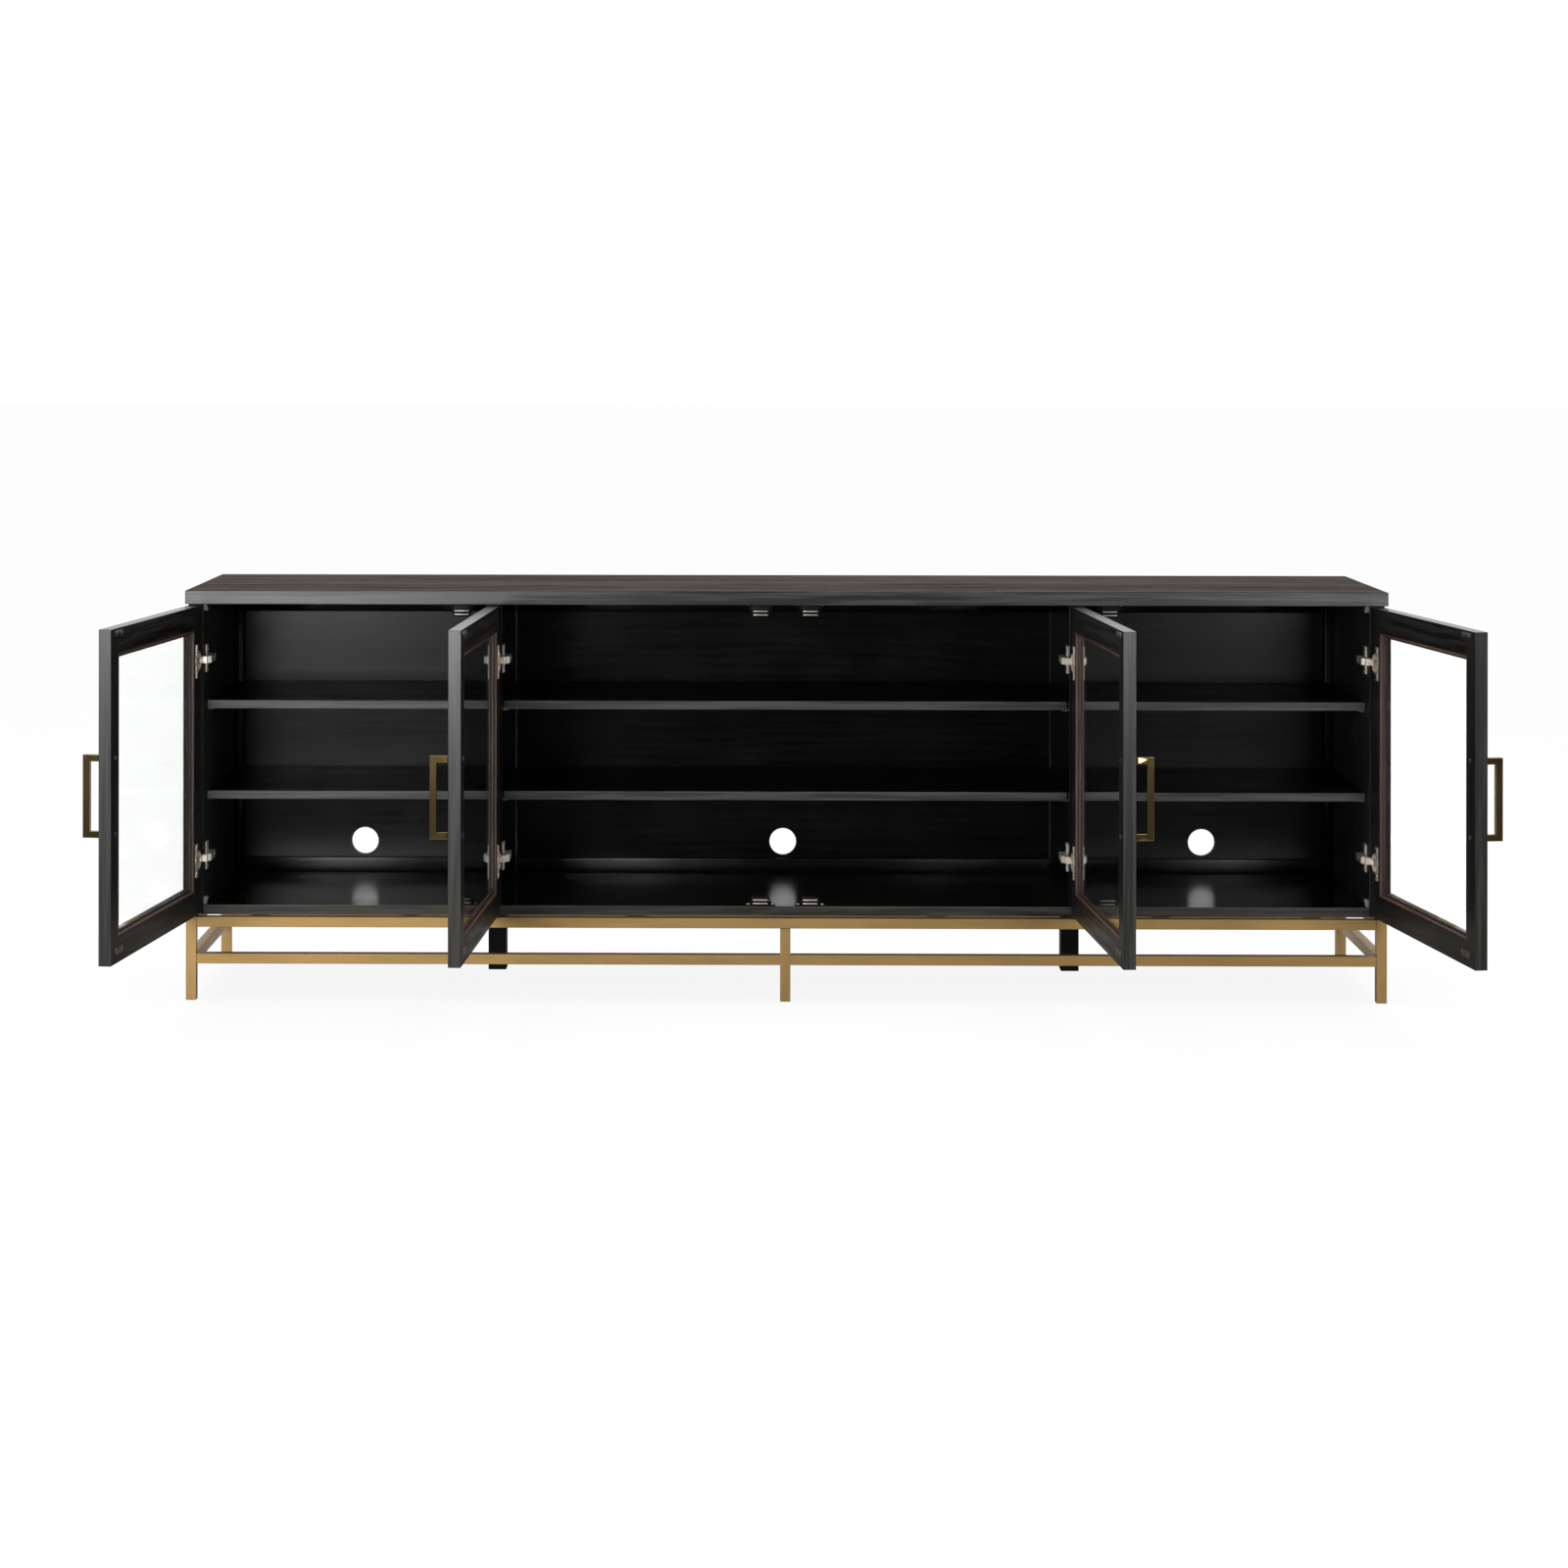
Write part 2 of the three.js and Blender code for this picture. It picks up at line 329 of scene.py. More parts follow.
def brushed_group() -> NodeTree:
    """Makes fine brushing lines along the first coordinate.

    Returns:
        A group with Lines and Mottle outputs.
    """
    group, board, source, result = start_group(
        "brushed_lines", {"Vector": None, "Fineness": 1.0}, ("Lines", "Mottle")
    )
    place = source.outputs["Vector"]
    fine = board.vector("SCALE", place)
    board.link(source.outputs["Fineness"], fine.node, "Scale")
    lines = board.noise(board.vector("MULTIPLY", fine, (14.0, 1500.0, 1500.0)), detail=2.0)
    mottle = board.noise(board.vector("MULTIPLY", place, (7.0, 45.0, 45.0)), detail=3.0)
    board.link(lines, result, "Lines")
    board.link(mottle, result, "Mottle")
    return group


OAK_GRAIN = oak_grain_group()
HANDLING = handling_group()
BRUSHED = brushed_group()


# ------------------------------------------------------------------ finishes


def use_group(board: NodeBoard, group: NodeTree, **inputs: object) -> Node:
    """Places a node group in a material.

    Args:
        board: the material's board.
        group: the group to place.
        inputs: values or sockets, with _ for a space in a socket's name.

    Returns:
        The group node.
    """
    node = board.add("ShaderNodeGroup", node_tree=group)
    for key, value in inputs.items():
        socket = node.inputs[key.replace("_", " ")]
        if isinstance(value, NodeSocket):
            board.tree.links.new(value, socket)
        else:
            socket.default_value = value
    return node


@dataclass(frozen=True)
class Finish:
    """A surface finish, made into one material.

    Args:
        name: the material's name.
        slot: the record's material slot that it belongs to, if any.
    """

    name: str
    slot: Optional[str] = None

    def start(self) -> tuple[Material, NodeBoard, Node, NodeSocket]:
        """Starts the material.

        Returns:
            The material, its board, its Principled shader and its object coordinates.
        """
        material = bpy.data.materials.new(self.name)
        material.use_nodes = True
        board = NodeBoard(material.node_tree)
        shader = material.node_tree.nodes["Principled BSDF"]
        place = board.add("ShaderNodeTexCoord").outputs["Object"]
        return material, board, shader, place

    def build(self) -> Material:
        """Makes the material. Each kind of finish has its own way."""
        raise NotImplementedError


@dataclass(frozen=True)
class OakFinish(Finish):
    """Stained oak veneer under satin lacquer.

    Args:
        grain: the way the fibres run.
        dark: colour of the dense wood.
        light: colour of the open wood.
        pore: colour in the pores.
        roughness: lowest and highest roughness.
        ring_density: rings for each metre.
        waviness: how far the rings wander.
        pore_contrast: strength of the pores.
        relief: strength of the bump.
        specular: specular level of the lacquer.
        offset: shift of the pattern, so that two panels differ.
        lip_dark: colour of the dense wood on the solid lipping at the edges, partly the lipping's own tone
            and partly a painted highlight on edges that face the lights.
        lip_light: colour of the open wood there, likewise partly a painted highlight.
        lip_roughness: lowest and highest roughness there.
        lip_coat: weight of the lacquer coat on the lipping.
        coat_roughness: roughness of that coat.
        lip_axis: which coordinate tells the lipping from the face.
        lip_limit: the lipping lies below this value of it, if there is any.
    """

    grain: Grain = Grain.ALONG_X
    dark: Colour = (0.010, 0.008, 0.007)
    light: Colour = (0.036, 0.030, 0.027)
    pore: Colour = (0.060, 0.054, 0.050)
    roughness: Pair = (0.42, 0.62)
    ring_density: float = 46.0
    waviness: float = 0.9
    pore_contrast: float = 0.8
    relief: float = 0.35
    specular: float = 0.5
    offset: Point = (0.0, 0.0, 0.0)
    lip_dark: Colour = (0.012, 0.012, 0.012)
    lip_light: Colour = (0.040, 0.040, 0.039)
    lip_roughness: Pair = (0.34, 0.46)
    lip_coat: float = 1.0
    coat_roughness: float = 0.3
    lip_axis: int = 1
    lip_limit: Optional[float] = None

    def fibres(self, board: NodeBoard, place: NodeSocket) -> NodeSocket:
        """Works out the coordinates along and across the fibres.

        Args:
            board: the material's board.
            place: object coordinates.

        Returns:
            Coordinates with the fibres along the first.
        """
        return board.reorder(board.vector("ADD", place, self.offset), self.grain.value)

    def dress(
        self, board: NodeBoard, shader: Node, place: NodeSocket, along: NodeSocket, lip: Optional[NodeSocket],
    ) -> tuple[Node, NodeSocket]:
        """Connects the grain to the shader.

        Args:
            board: the material's board.
            shader: the Principled shader.
            place: object coordinates.
            along: coordinates with the fibres along the first.
            lip: mask of the lipping, if there is any.

        Returns:
            The grain node and the colour before any joint lines.
        """
        grain = use_group(
            board, OAK_GRAIN, Vector=along, Ring_Density=self.ring_density,
            Waviness=self.waviness, Pore_Contrast=self.pore_contrast,
        )
        marks = use_group(board, HANDLING, Vector=place, Amount=1.0)
        colour = board.blend(grain.outputs["Figure"], self.dark, self.light)
        colour = board.blend(grain.outputs["Pores"], colour, self.pore)
        low, high = self.roughness
        rough = board.math("MULTIPLY_ADD", grain.outputs["Figure"], (high - low) * 0.6, low)
        rough = board.math("MULTIPLY_ADD", grain.outputs["Pores"], (high - low) * 0.4, rough)
        if lip is not None:
            # Partly painted highlight: the lipping's colours stand both for its own tone and for the light
            # that edges facing the lamps catch.
            edge_colour = board.blend(grain.outputs["Figure"], self.lip_dark, self.lip_light)
            colour = board.blend(lip, colour, edge_colour)
            low, high = self.lip_roughness
            edge = board.math("MULTIPLY_ADD", grain.outputs["Figure"], high - low, low)
            keep = board.math("MULTIPLY", rough, board.math("SUBTRACT", 1.0, lip))
            rough = board.math("MULTIPLY_ADD", edge, lip, keep)
            board.link(board.math("MULTIPLY", lip, self.lip_coat), shader, "Coat Weight")
            shader.inputs["Coat Roughness"].default_value = self.coat_roughness
        rough = board.math("MULTIPLY_ADD", marks.outputs["Smudge"], 0.05, rough, clamp=True)
        board.link(rough, shader, "Roughness")
        shader.inputs["Specular IOR Level"].default_value = self.specular
        return grain, colour

    def build(self) -> Material:
        """Makes the veneer.

        Returns:
            The material.
        """
        material, board, shader, place = self.start()
        lip = None
        if self.lip_limit is not None:
            level = board.add("ShaderNodeSeparateXYZ", {0: place}).outputs[self.lip_axis]
            lip = board.math("LESS_THAN", level, self.lip_limit)
        grain, colour = self.dress(board, shader, place, self.fibres(board, place), lip)
        board.link(colour, shader, "Base Color")
        board.bump(shader, grain.outputs["Height"], self.relief, BUMP_REACH)
        return material


@dataclass(frozen=True)
class FramedOakFinish(OakFinish):
    """Oak on a frame of two stiles with rails between them, with a fine groove where they meet that is
    painted lighter as a painted highlight.

    Args:
        pivot: the point that the frame turns about.
        turn: angle of the frame about the vertical, in radians.
        hand: the side on which the frame hangs.
        middle: centre of the frame along its width, measured from the pivot.
        joint: distance from that centre to each joint line.
        mitred: True where the pieces meet at 45 degrees, as beads do.
        half_height: distance from the frame's middle height to its top.
        half_width: distance from the frame's middle to its side edges.
        middle_height: the frame's middle height.
        cove: local depths between which the wood is painted darker, as painted shade in the cove, if any.
    """

    pivot: Point = (0.0, 0.0, 0.0)
    turn: float = 0.0
    hand: Hand = Hand.HINGED_LEFT
    middle: float = 0.27
    joint: float = 0.23
    mitred: bool = False
    half_height: float = 0.2875
    half_width: Optional[float] = None
    middle_height: float = 0.4465
    cove: Optional[Pair] = None

    def build(self) -> Material:
        """Makes the framed veneer.

        Returns:
            The material.
        """
        material, board, shader, place = self.start()
        turned = board.add(
            "ShaderNodeMapping", {"Vector": place, "Location": self.pivot, "Rotation": (0.0, 0.0, self.turn)},
            vector_type="TEXTURE",
        ).outputs[0]
        centre = (self.hand.value * self.middle, 0.0, self.middle_height)
        local = board.vector("SUBTRACT", turned, centre)
        parts = board.add("ShaderNodeSeparateXYZ", {0: local})
        out = board.math("ABSOLUTE", parts.outputs[0])
        lip = None
        if self.half_width:
            side = board.math("GREATER_THAN", out, self.half_width - EDGE_MARGIN)
            rise = board.math("ABSOLUTE", parts.outputs[2])
            end = board.math("GREATER_THAN", rise, self.half_height - EDGE_MARGIN)
            lip = board.math("MAXIMUM", side, end)
        if self.mitred:
            up = board.math("ABSOLUTE", parts.outputs[2])
            up = board.math("SUBTRACT", up, self.half_height - self.joint)
            from_joint = board.math("SUBTRACT", out, up)
        else:
            from_joint = board.math("SUBTRACT", out, self.joint)
        upright = board.math("GREATER_THAN", from_joint, 0.0)
        shifted = board.vector("ADD", local, self.offset)
        flat = board.reorder(shifted, Grain.ALONG_X.value)
        tall = board.vector("ADD", board.reorder(shifted, Grain.ALONG_Z.value), (3.1, 0.4, 1.3))
        mix = board.add("ShaderNodeMix", {"Factor": upright}, data_type="VECTOR")
        board.tree.links.new(flat, mix.inputs[4])
        board.tree.links.new(tall, mix.inputs[5])
        grain, colour = self.dress(board, shader, place, mix.outputs[1], lip)
        # Where the pieces meet, a narrow band is sunk in the bump and painted lighter: the lighter colour is
        # a painted highlight on the joint's arris.
        line = board.span(board.math("ABSOLUTE", from_joint), 0.0003, 0.0010, (1.0, 0.0))
        colour = board.blend(board.math("MULTIPLY", line, 0.4), colour, tuple(1.6 * c for c in self.light))
        # Painted shade: between the cove's depths the colour is darkened to stand in for the shade that falls
        # in the bead's cove.
        if self.cove:
            deep = board.span(parts.outputs[1], self.cove[0] - 0.0006, self.cove[0] + 0.0002)
            shallow = board.span(parts.outputs[1], self.cove[1] - 0.0002, self.cove[1] + 0.0006, (1.0, 0.0))
            painted_cove_shade = tuple(0.4 * c for c in self.dark)
            colour = board.blend(board.math("MULTIPLY", deep, shallow), colour, painted_cove_shade)
        board.link(colour, shader, "Base Color")
        height = board.math("MULTIPLY_ADD", line, -0.8, grain.outputs["Height"])
        board.bump(shader, height, self.relief, BUMP_REACH)
        return material


@dataclass(frozen=True)
class MetalFinish(Finish):
    """Plated or bare metal with fine brushing.

    Args:
        colour: the main colour.
        tone: the colour in the mottled patches.
        roughness: lowest and highest roughness.
        grain: the way the brushing runs.
        fineness: how fine the lines are.
        relief: strength of the bump.
    """

    colour: Colour = (0.6, 0.59, 0.56)
    tone: Colour = (0.45, 0.44, 0.42)
    roughness: Pair = (0.2, 0.35)
    grain: Grain = Grain.ALONG_X
    fineness: float = 1.0
    relief: float = 0.06

    def build(self) -> Material:
        """Makes the metal.

        Returns:
            The material.
        """
        material, board, shader, place = self.start()
        along = board.reorder(place, self.grain.value)
        brushed = use_group(board, BRUSHED, Vector=along, Fineness=self.fineness)
        marks = use_group(board, HANDLING, Vector=place, Amount=1.0)
        patch = board.span(brushed.outputs["Mottle"], 0.35, 0.7)
        colour = board.blend(patch, self.colour, self.tone)
        board.link(colour, shader, "Base Color")
        shader.inputs["Metallic"].default_value = 1.0
        low, high = self.roughness
        rough = board.math("MULTIPLY_ADD", brushed.outputs["Lines"], high - low, low)
        rough = board.math("MULTIPLY_ADD", marks.outputs["Smudge"], 0.05, rough, clamp=True)
        board.link(rough, shader, "Roughness")
        board.bump(shader, brushed.outputs["Lines"], self.relief, FINE_BUMP_REACH)
        return material


@dataclass(frozen=True)
class MouldedFinish(Finish):
    """Moulded plastic or sprayed paint, with a fine orange-peel surface.

    Args:
        colour: the main colour.
        roughness: lowest and highest roughness.
        peel: cycles for each metre of the fine surface.
        relief: strength of the bump.
        specular: specular level.
    """

    colour: Colour = (0.02, 0.02, 0.021)
    roughness: Pair = (0.4, 0.55)
    peel: float = 900.0
    relief: float = 0.1
    specular: float = 0.5

    def build(self) -> Material:
        """Makes the plastic or paint.

        Returns:
            The material.
        """
        material, board, shader, place = self.start()
        marks = use_group(board, HANDLING, Vector=place, Amount=1.0)
        grit = board.noise(place, self.peel, 1.0)
        lighter = tuple(min(1.0, 1.35 * c + 0.004) for c in self.colour)
        board.link(board.blend(marks.outputs["Smudge"], self.colour, lighter), shader, "Base Color")
        shader.inputs["Specular IOR Level"].default_value = self.specular
        low, high = self.roughness
        rough = board.math("MULTIPLY_ADD", grit, high - low, low)
        rough = board.math("ADD", rough, board.math("MULTIPLY", marks.outputs["Hairlines"], 0.06))
        board.link(rough, shader, "Roughness")
        board.bump(shader, grit, self.relief, FINE_BUMP_REACH)
        return material


@dataclass(frozen=True)
class GlassFinish(Finish):
    """Clear float glass with faint wipe marks.

    Args:
        tint: colour that the glass lends to what is behind it.
    """

    tint: Colour = (0.975, 0.99, 0.98)

    def build(self) -> Material:
        """Makes the glass.

        Returns:
            The material.
        """
        material, board, shader, place = self.start()
        marks = use_group(board, HANDLING, Vector=place, Amount=1.0)
        softer = tuple(0.985 * c for c in self.tint)
        board.link(board.blend(marks.outputs["Smudge"], self.tint, softer), shader, "Base Color")
        board.link(board.math("MULTIPLY", marks.outputs["Smudge"], 0.012), shader, "Roughness")
        shader.inputs["Transmission Weight"].default_value = 1.0
        shader.inputs["IOR"].default_value = 1.45
        return material


BLACK_OAK = {"dark": (0.0035, 0.0032, 0.003), "light": (0.013, 0.0122, 0.0112), "pore": (0.02, 0.0185, 0.017)}


class Finishes:
    """Every finish on the cabinet, each made once and looked up by its name."""

    def __init__(self) -> None:
        """Makes the finishes that more than one piece shares."""
        inner = {
            "dark": (0.0008, 0.0007, 0.0006), "light": (0.0027, 0.0025, 0.0023),
            "pore": (0.0017, 0.0016, 0.0014), "roughness": (0.19, 0.225), "pore_contrast": 0.3,
            "relief": 0.03, "specular": 0.17,
        }
        glossy = {**inner, "roughness": (0.15, 0.19), "relief": 0.02, "lip_coat": 0.45}
        gold = {"slot": "gold_metal", "colour": (0.395, 0.255, 0.100), "tone": (0.345, 0.222, 0.086),
                "roughness": (0.32, 0.46)}
        # The lip colours below are partly a painted highlight on the edges that face the lights.
        shared = (
            OakFinish("top_oak", "dark_oak", dark=(0.012, 0.0092, 0.0078), light=(0.070, 0.056, 0.047),
                      pore=(0.12, 0.10, 0.086), roughness=(0.86, 1.0), relief=0.9, specular=0.06,
                      ring_density=34.0, waviness=0.7, lip_dark=(0.005, 0.0053, 0.0053),
                      lip_light=(0.050, 0.053, 0.052), lip_roughness=(0.5, 0.6), coat_roughness=0.29,
                      lip_axis=2, lip_limit=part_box("top_panel")[1].z - LIP_DEPTH),
            OakFinish("side_oak", "dark_oak", specular=0.25, grain=Grain.ALONG_Z, offset=(0.7, 0.3, 0.2),
                      **BLACK_OAK),
            OakFinish("floor_oak", "dark_oak", offset=(0.2, 0.9, 0.5), **glossy,
                      lip_dark=(0.012, 0.010, 0.008), lip_light=(0.044, 0.038, 0.032),
                      lip_limit=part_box("bottom_panel")[0].y + LIP_DEPTH),
            OakFinish("inner_oak_flat", "interior_oak", offset=(1.3, 0.2, 0.7), **inner),
            OakFinish("inner_oak_upright", "interior_oak", grain=Grain.ALONG_Z, offset=(0.4, 1.1, 0.3),
                      **inner),
            OakFinish("shelf_oak", "interior_oak", offset=(2.3, 0.6, 0.1),
                      **{**inner, "roughness": (0.34, 0.44)},
                      lip_dark=(0.014, 0.014, 0.013), lip_light=(0.052, 0.052, 0.050), lip_coat=0.7,
                      lip_limit=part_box("centre_upper_shelf")[0].y + LIP_DEPTH),
            MetalFinish("gold_plate_flat", **gold),
            MetalFinish("gold_plate_upright", grain=Grain.ALONG_Z, **gold),
            MetalFinish("gold_plate_deep", grain=Grain.ALONG_Y, **gold),
            MetalFinish("polished_brass", "polished_brass", (0.45, 0.32, 0.135), (0.36, 0.25, 0.10),
                        (0.05, 0.12), Grain.ALONG_Z, relief=0.02),
            MetalFinish("nickel_plate", "nickel", (0.88, 0.82, 0.74), (0.74, 0.68, 0.60), (0.34, 0.48),
                        Grain.ALONG_Z),
            MetalFinish("bright_steel", "nickel", (0.62, 0.61, 0.60), (0.45, 0.45, 0.44), (0.10, 0.18)),
            MetalFinish("dark_steel", "nickel", (0.16, 0.15, 0.14), (0.11, 0.10, 0.095), (0.3, 0.42)),
            MouldedFinish("black_paint", "black_wood", (0.003, 0.003, 0.0035), (0.45, 0.6), 500.0, 0.15, 0.1),
            MouldedFinish("black_plastic", None, (0.003, 0.003, 0.003), (0.4, 0.5), specular=0.12),
            MouldedFinish("grey_plastic", None, (0.16, 0.165, 0.165), (0.35, 0.5)),
            GlassFinish("clear_glass", "clear_glass"),
        )
        self.made: dict[str, tuple[Material, Optional[str]]] = {}
        for finish in shared:
            self.add(finish)

    def add(self, finish: Finish) -> str:
        """Makes a finish.

        Args:
            finish: the finish to make.

        Returns:
            Its name.
        """
        self.made[finish.name] = (finish.build(), finish.slot)
        return finish.name

    def dress_node(self, node: str, finish: str) -> None:
        """Gives a CAD node a finish.

        Args:
            node: the node's name.
            finish: the finish's name.
        """
        frame["nodes"][node].material_slots[0].material = self.made[finish][0]

    def dress_piece(self, piece: Object, finish: str) -> None:
        """Gives a new piece a finish.

        Args:
            piece: the piece.
            finish: the finish's name.
        """
        material, slot = self.made[finish]
        piece.data.materials.append(material)


# ------------------------------------------------------------------ worked solids


class Shape:
    """A mesh under construction, put together from simple worked solids."""

    def __init__(self) -> None:
        """Starts with nothing."""
        self.bm = bmesh.new()

    def absorb(self, other: "Shape", matrix: Optional[Matrix] = None) -> "Shape":
        """Takes in another shape.

        Args:
            other: the shape to take in, which is used up.
            matrix: where it goes.

        Returns:
            This shape.
        """
        if matrix is not None:
            bmesh.ops.transform(other.bm, matrix=matrix, verts=other.bm.verts)
        carrier = bpy.data.meshes.new("carrier")
        other.bm.to_mesh(carrier)
        other.bm.free()
        self.bm.from_mesh(carrier)
        bpy.data.meshes.remove(carrier)
        return self

    def finish(
        self, name: str, body: Optional[str], finish: str, finishes: Finishes, sharp: float = 32.0,
    ) -> Object:
        """Makes the shape a piece that rides on a body.

        Args:
            name: the piece's name.
            body: the CAD body that it moves with, or None for a piece that rides on no body.
            finish: name of its finish.
            finishes: where the finishes are kept.
            sharp: edges that turn by more than this many degrees stay crisp.

        Returns:
            The piece.
        """
        bmesh.ops.remove_doubles(self.bm, verts=self.bm.verts, dist=1e-6)
        bmesh.ops.recalc_face_normals(self.bm, faces=self.bm.faces)
        for face in self.bm.faces:
            face.smooth = True
        for edge in self.bm.edges:
            edge.smooth = edge.calc_face_angle(math.pi) < math.radians(sharp)
        mesh = bpy.data.meshes.new(name)
        self.bm.to_mesh(mesh)
        self.bm.free()
        piece = bpy.data.objects.new(name, mesh)
        bpy.context.scene.collection.objects.link(piece)
        finishes.dress_piece(piece, finish)
        if body:
            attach(piece, body)
        LOG.info("%s: %d faces on %s in %s", name, len(mesh.polygons), body, finish)
        return piece


def block(low: Sequence[float], high: Sequence[float], radius: float = 0.0004, segments: int = 2) -> Shape:
    """Makes a box with rounded arrises.

    Args:
        low: one corner.
        high: the opposite corner.
        radius: radius of the arrises.
        segments: faces across each rounding.

    Returns:
        The box.
    """
    shape = Shape()
    size = [abs(b - a) for a, b in zip(low, high)]
    middle = Vector([(a + b) / 2 for a, b in zip(low, high)])
    matrix = Matrix.Translation(middle) @ Matrix.Diagonal((*size, 1.0))
    bmesh.ops.create_cube(shape.bm, size=1.0, matrix=matrix)
    bmesh.ops.bevel(
        shape.bm, geom=shape.bm.edges[:], offset=radius, offset_type="OFFSET", segments=segments,
        profile=0.5, affect="EDGES", material=-1, clamp_overlap=True,
    )
    return shape


def turned(profile: Sequence[Pair], steps: int = 20) -> Shape:
    """Turns a profile about the Z axis.

    Args:
        profile: radius and height of each point, from the bottom pole to the top pole.
        steps: faces round the axis.

    Returns:
        The turned solid.
    """
    shape = Shape()
    verts = [shape.bm.verts.new((radius, 0.0, height)) for radius, height in profile]
    edges = [shape.bm.edges.new(pair) for pair in zip(verts, verts[1:])]
    bmesh.ops.spin(
        shape.bm, geom=verts + edges, cent=(0, 0, 0), axis=(0, 0, 1), dvec=(0, 0, 0),
        angle=math.tau, steps=steps, use_merge=True,
    )
    bmesh.ops.remove_doubles(shape.bm, verts=shape.bm.verts, dist=1e-7)
    return shape


def raise_cap(bm: bmesh.types.BMesh, height: float) -> list:
    """Extrudes a flat cap upwards.

    Args:
        bm: a mesh that holds only the cap.
        height: how far it goes up.

    Returns:
        The elements at the top.
    """
    made = bmesh.ops.extrude_face_region(bm, geom=bm.faces[:])["geom"]
    verts = [element for element in made if isinstance(element, bmesh.types.BMVert)]
    bmesh.ops.translate(bm, vec=(0, 0, height), verts=verts)
    return made


def screw(radius: float, height: float, sides: int = 16) -> Shape:
    """Makes a domed cross-head screw, seated at z 0 with its head towards +Z.

    Args:
        radius: radius of the head.
        height: height of the head.
        sides: faces round the head, a multiple of four.

    Returns:
        The screw head.
    """
    shape = Shape()
    bm = shape.bm
    bmesh.ops.create_circle(bm, cap_ends=True, segments=sides, radius=radius)
    top = [element for element in raise_cap(bm, height * 0.4) if isinstance(element, bmesh.types.BMFace)]
    for share, rise in ((0.16, 0.34), (0.22, 0.22), (0.10, 0.04)):
        bmesh.ops.inset_region(
            bm, faces=top, thickness=radius * share, depth=height * rise, use_even_offset=True,
        )
    shares = (1.0, 0.46, 0.34, 0.46)
    for vert in top[0].verts:
        step = round(math.atan2(vert.co.y, vert.co.x) / math.tau * sides)
        vert.co.xy *= shares[step % 4]
    bmesh.ops.inset_region(bm, faces=top, thickness=radius * 0.02, depth=-height * 0.6)
    return shape


def stadium(length: float, width: float, thickness: float, sides: int = 24) -> Shape:
    """Makes a plate with half-round ends, seated at z 0 and lying along X.

    Args:
        length: full length.
        width: full width.
        thickness: height of the plate.
        sides: faces round both ends together.

    Returns:
        The plate.
    """
    shape = Shape()
    bm = shape.bm
    bmesh.ops.create_circle(bm, cap_ends=True, segments=sides, radius=width / 2)
    for vert in bm.verts:
        vert.co.x += math.copysign((length - width) / 2, vert.co.x + 1e-7)
    raise_cap(bm, thickness)
    rim = [e for e in bm.edges if all(v.co.z > thickness / 2 for v in e.verts)]
    bmesh.ops.bevel(
        bm, geom=rim, offset=thickness * 0.3, offset_type="OFFSET", segments=2, profile=0.5,
        affect="EDGES", material=-1, clamp_overlap=True,
    )
    return shape


def picture_frame(section: Sequence[Pair], half_width: float, half_height: float) -> Shape:
    """Runs a moulding round a rectangle, with mitred corners.

    Args:
        section: inset from the outer edge and depth along Y of each point of the moulding.
        half_width: half of the outer width along X.
        half_height: half of the outer height along Z.

    Returns:
        The frame, centred on the origin.
    """
    shape = Shape()
    bm = shape.bm
    reach = min(half_width, half_height)
    verts = [bm.verts.new((reach - inset, depth, reach - inset)) for inset, depth in section]
    edges = [bm.edges.new(pair) for pair in zip(verts, verts[1:] + verts[:1])]
    bmesh.ops.spin(
        bm, geom=verts + edges, cent=(0, 0, 0), axis=(0, 1, 0), dvec=(0, 0, 0),
        angle=math.tau, steps=4, use_merge=True,
    )
    for vert in bm.verts:
        vert.co.x += math.copysign(half_width - reach, vert.co.x)
        vert.co.z += math.copysign(half_height - reach, vert.co.z)
    return shape


def facing(direction: Sequence[float], at: Sequence[float], spin: float = 0.0) -> Matrix:
    """Turns +Z to a direction and moves the origin to a point.

    Args:
        direction: where +Z goes.
        at: where the origin goes.
        spin: turn about +Z first, in radians.

    Returns:
        The matrix.
    """
    turn = Vector(direction).to_track_quat("Z", "Y").to_matrix().to_4x4()
    return Matrix.Translation(Vector(at)) @ turn @ Matrix.Rotation(spin, 4, "Z")


def ease_arrises(node: str, width: float, segments: int = 2) -> None:
    """Rounds the arrises of a CAD node with modifiers.

    Args:
        node: the node's name.
        width: width of the rounding.
        segments: faces across each rounding.
    """
    piece = frame["nodes"][node]
    weld = piece.modifiers.new("weld", "WELD")
    weld.merge_threshold = 2e-5
    bevel = piece.modifiers.new("arrises", "BEVEL")
    bevel.width = width
    bevel.segments = segments
    bevel.limit_method = "ANGLE"
    bevel.angle_limit = math.radians(40)
    bevel.harden_normals = False


# ------------------------------------------------------------------ base


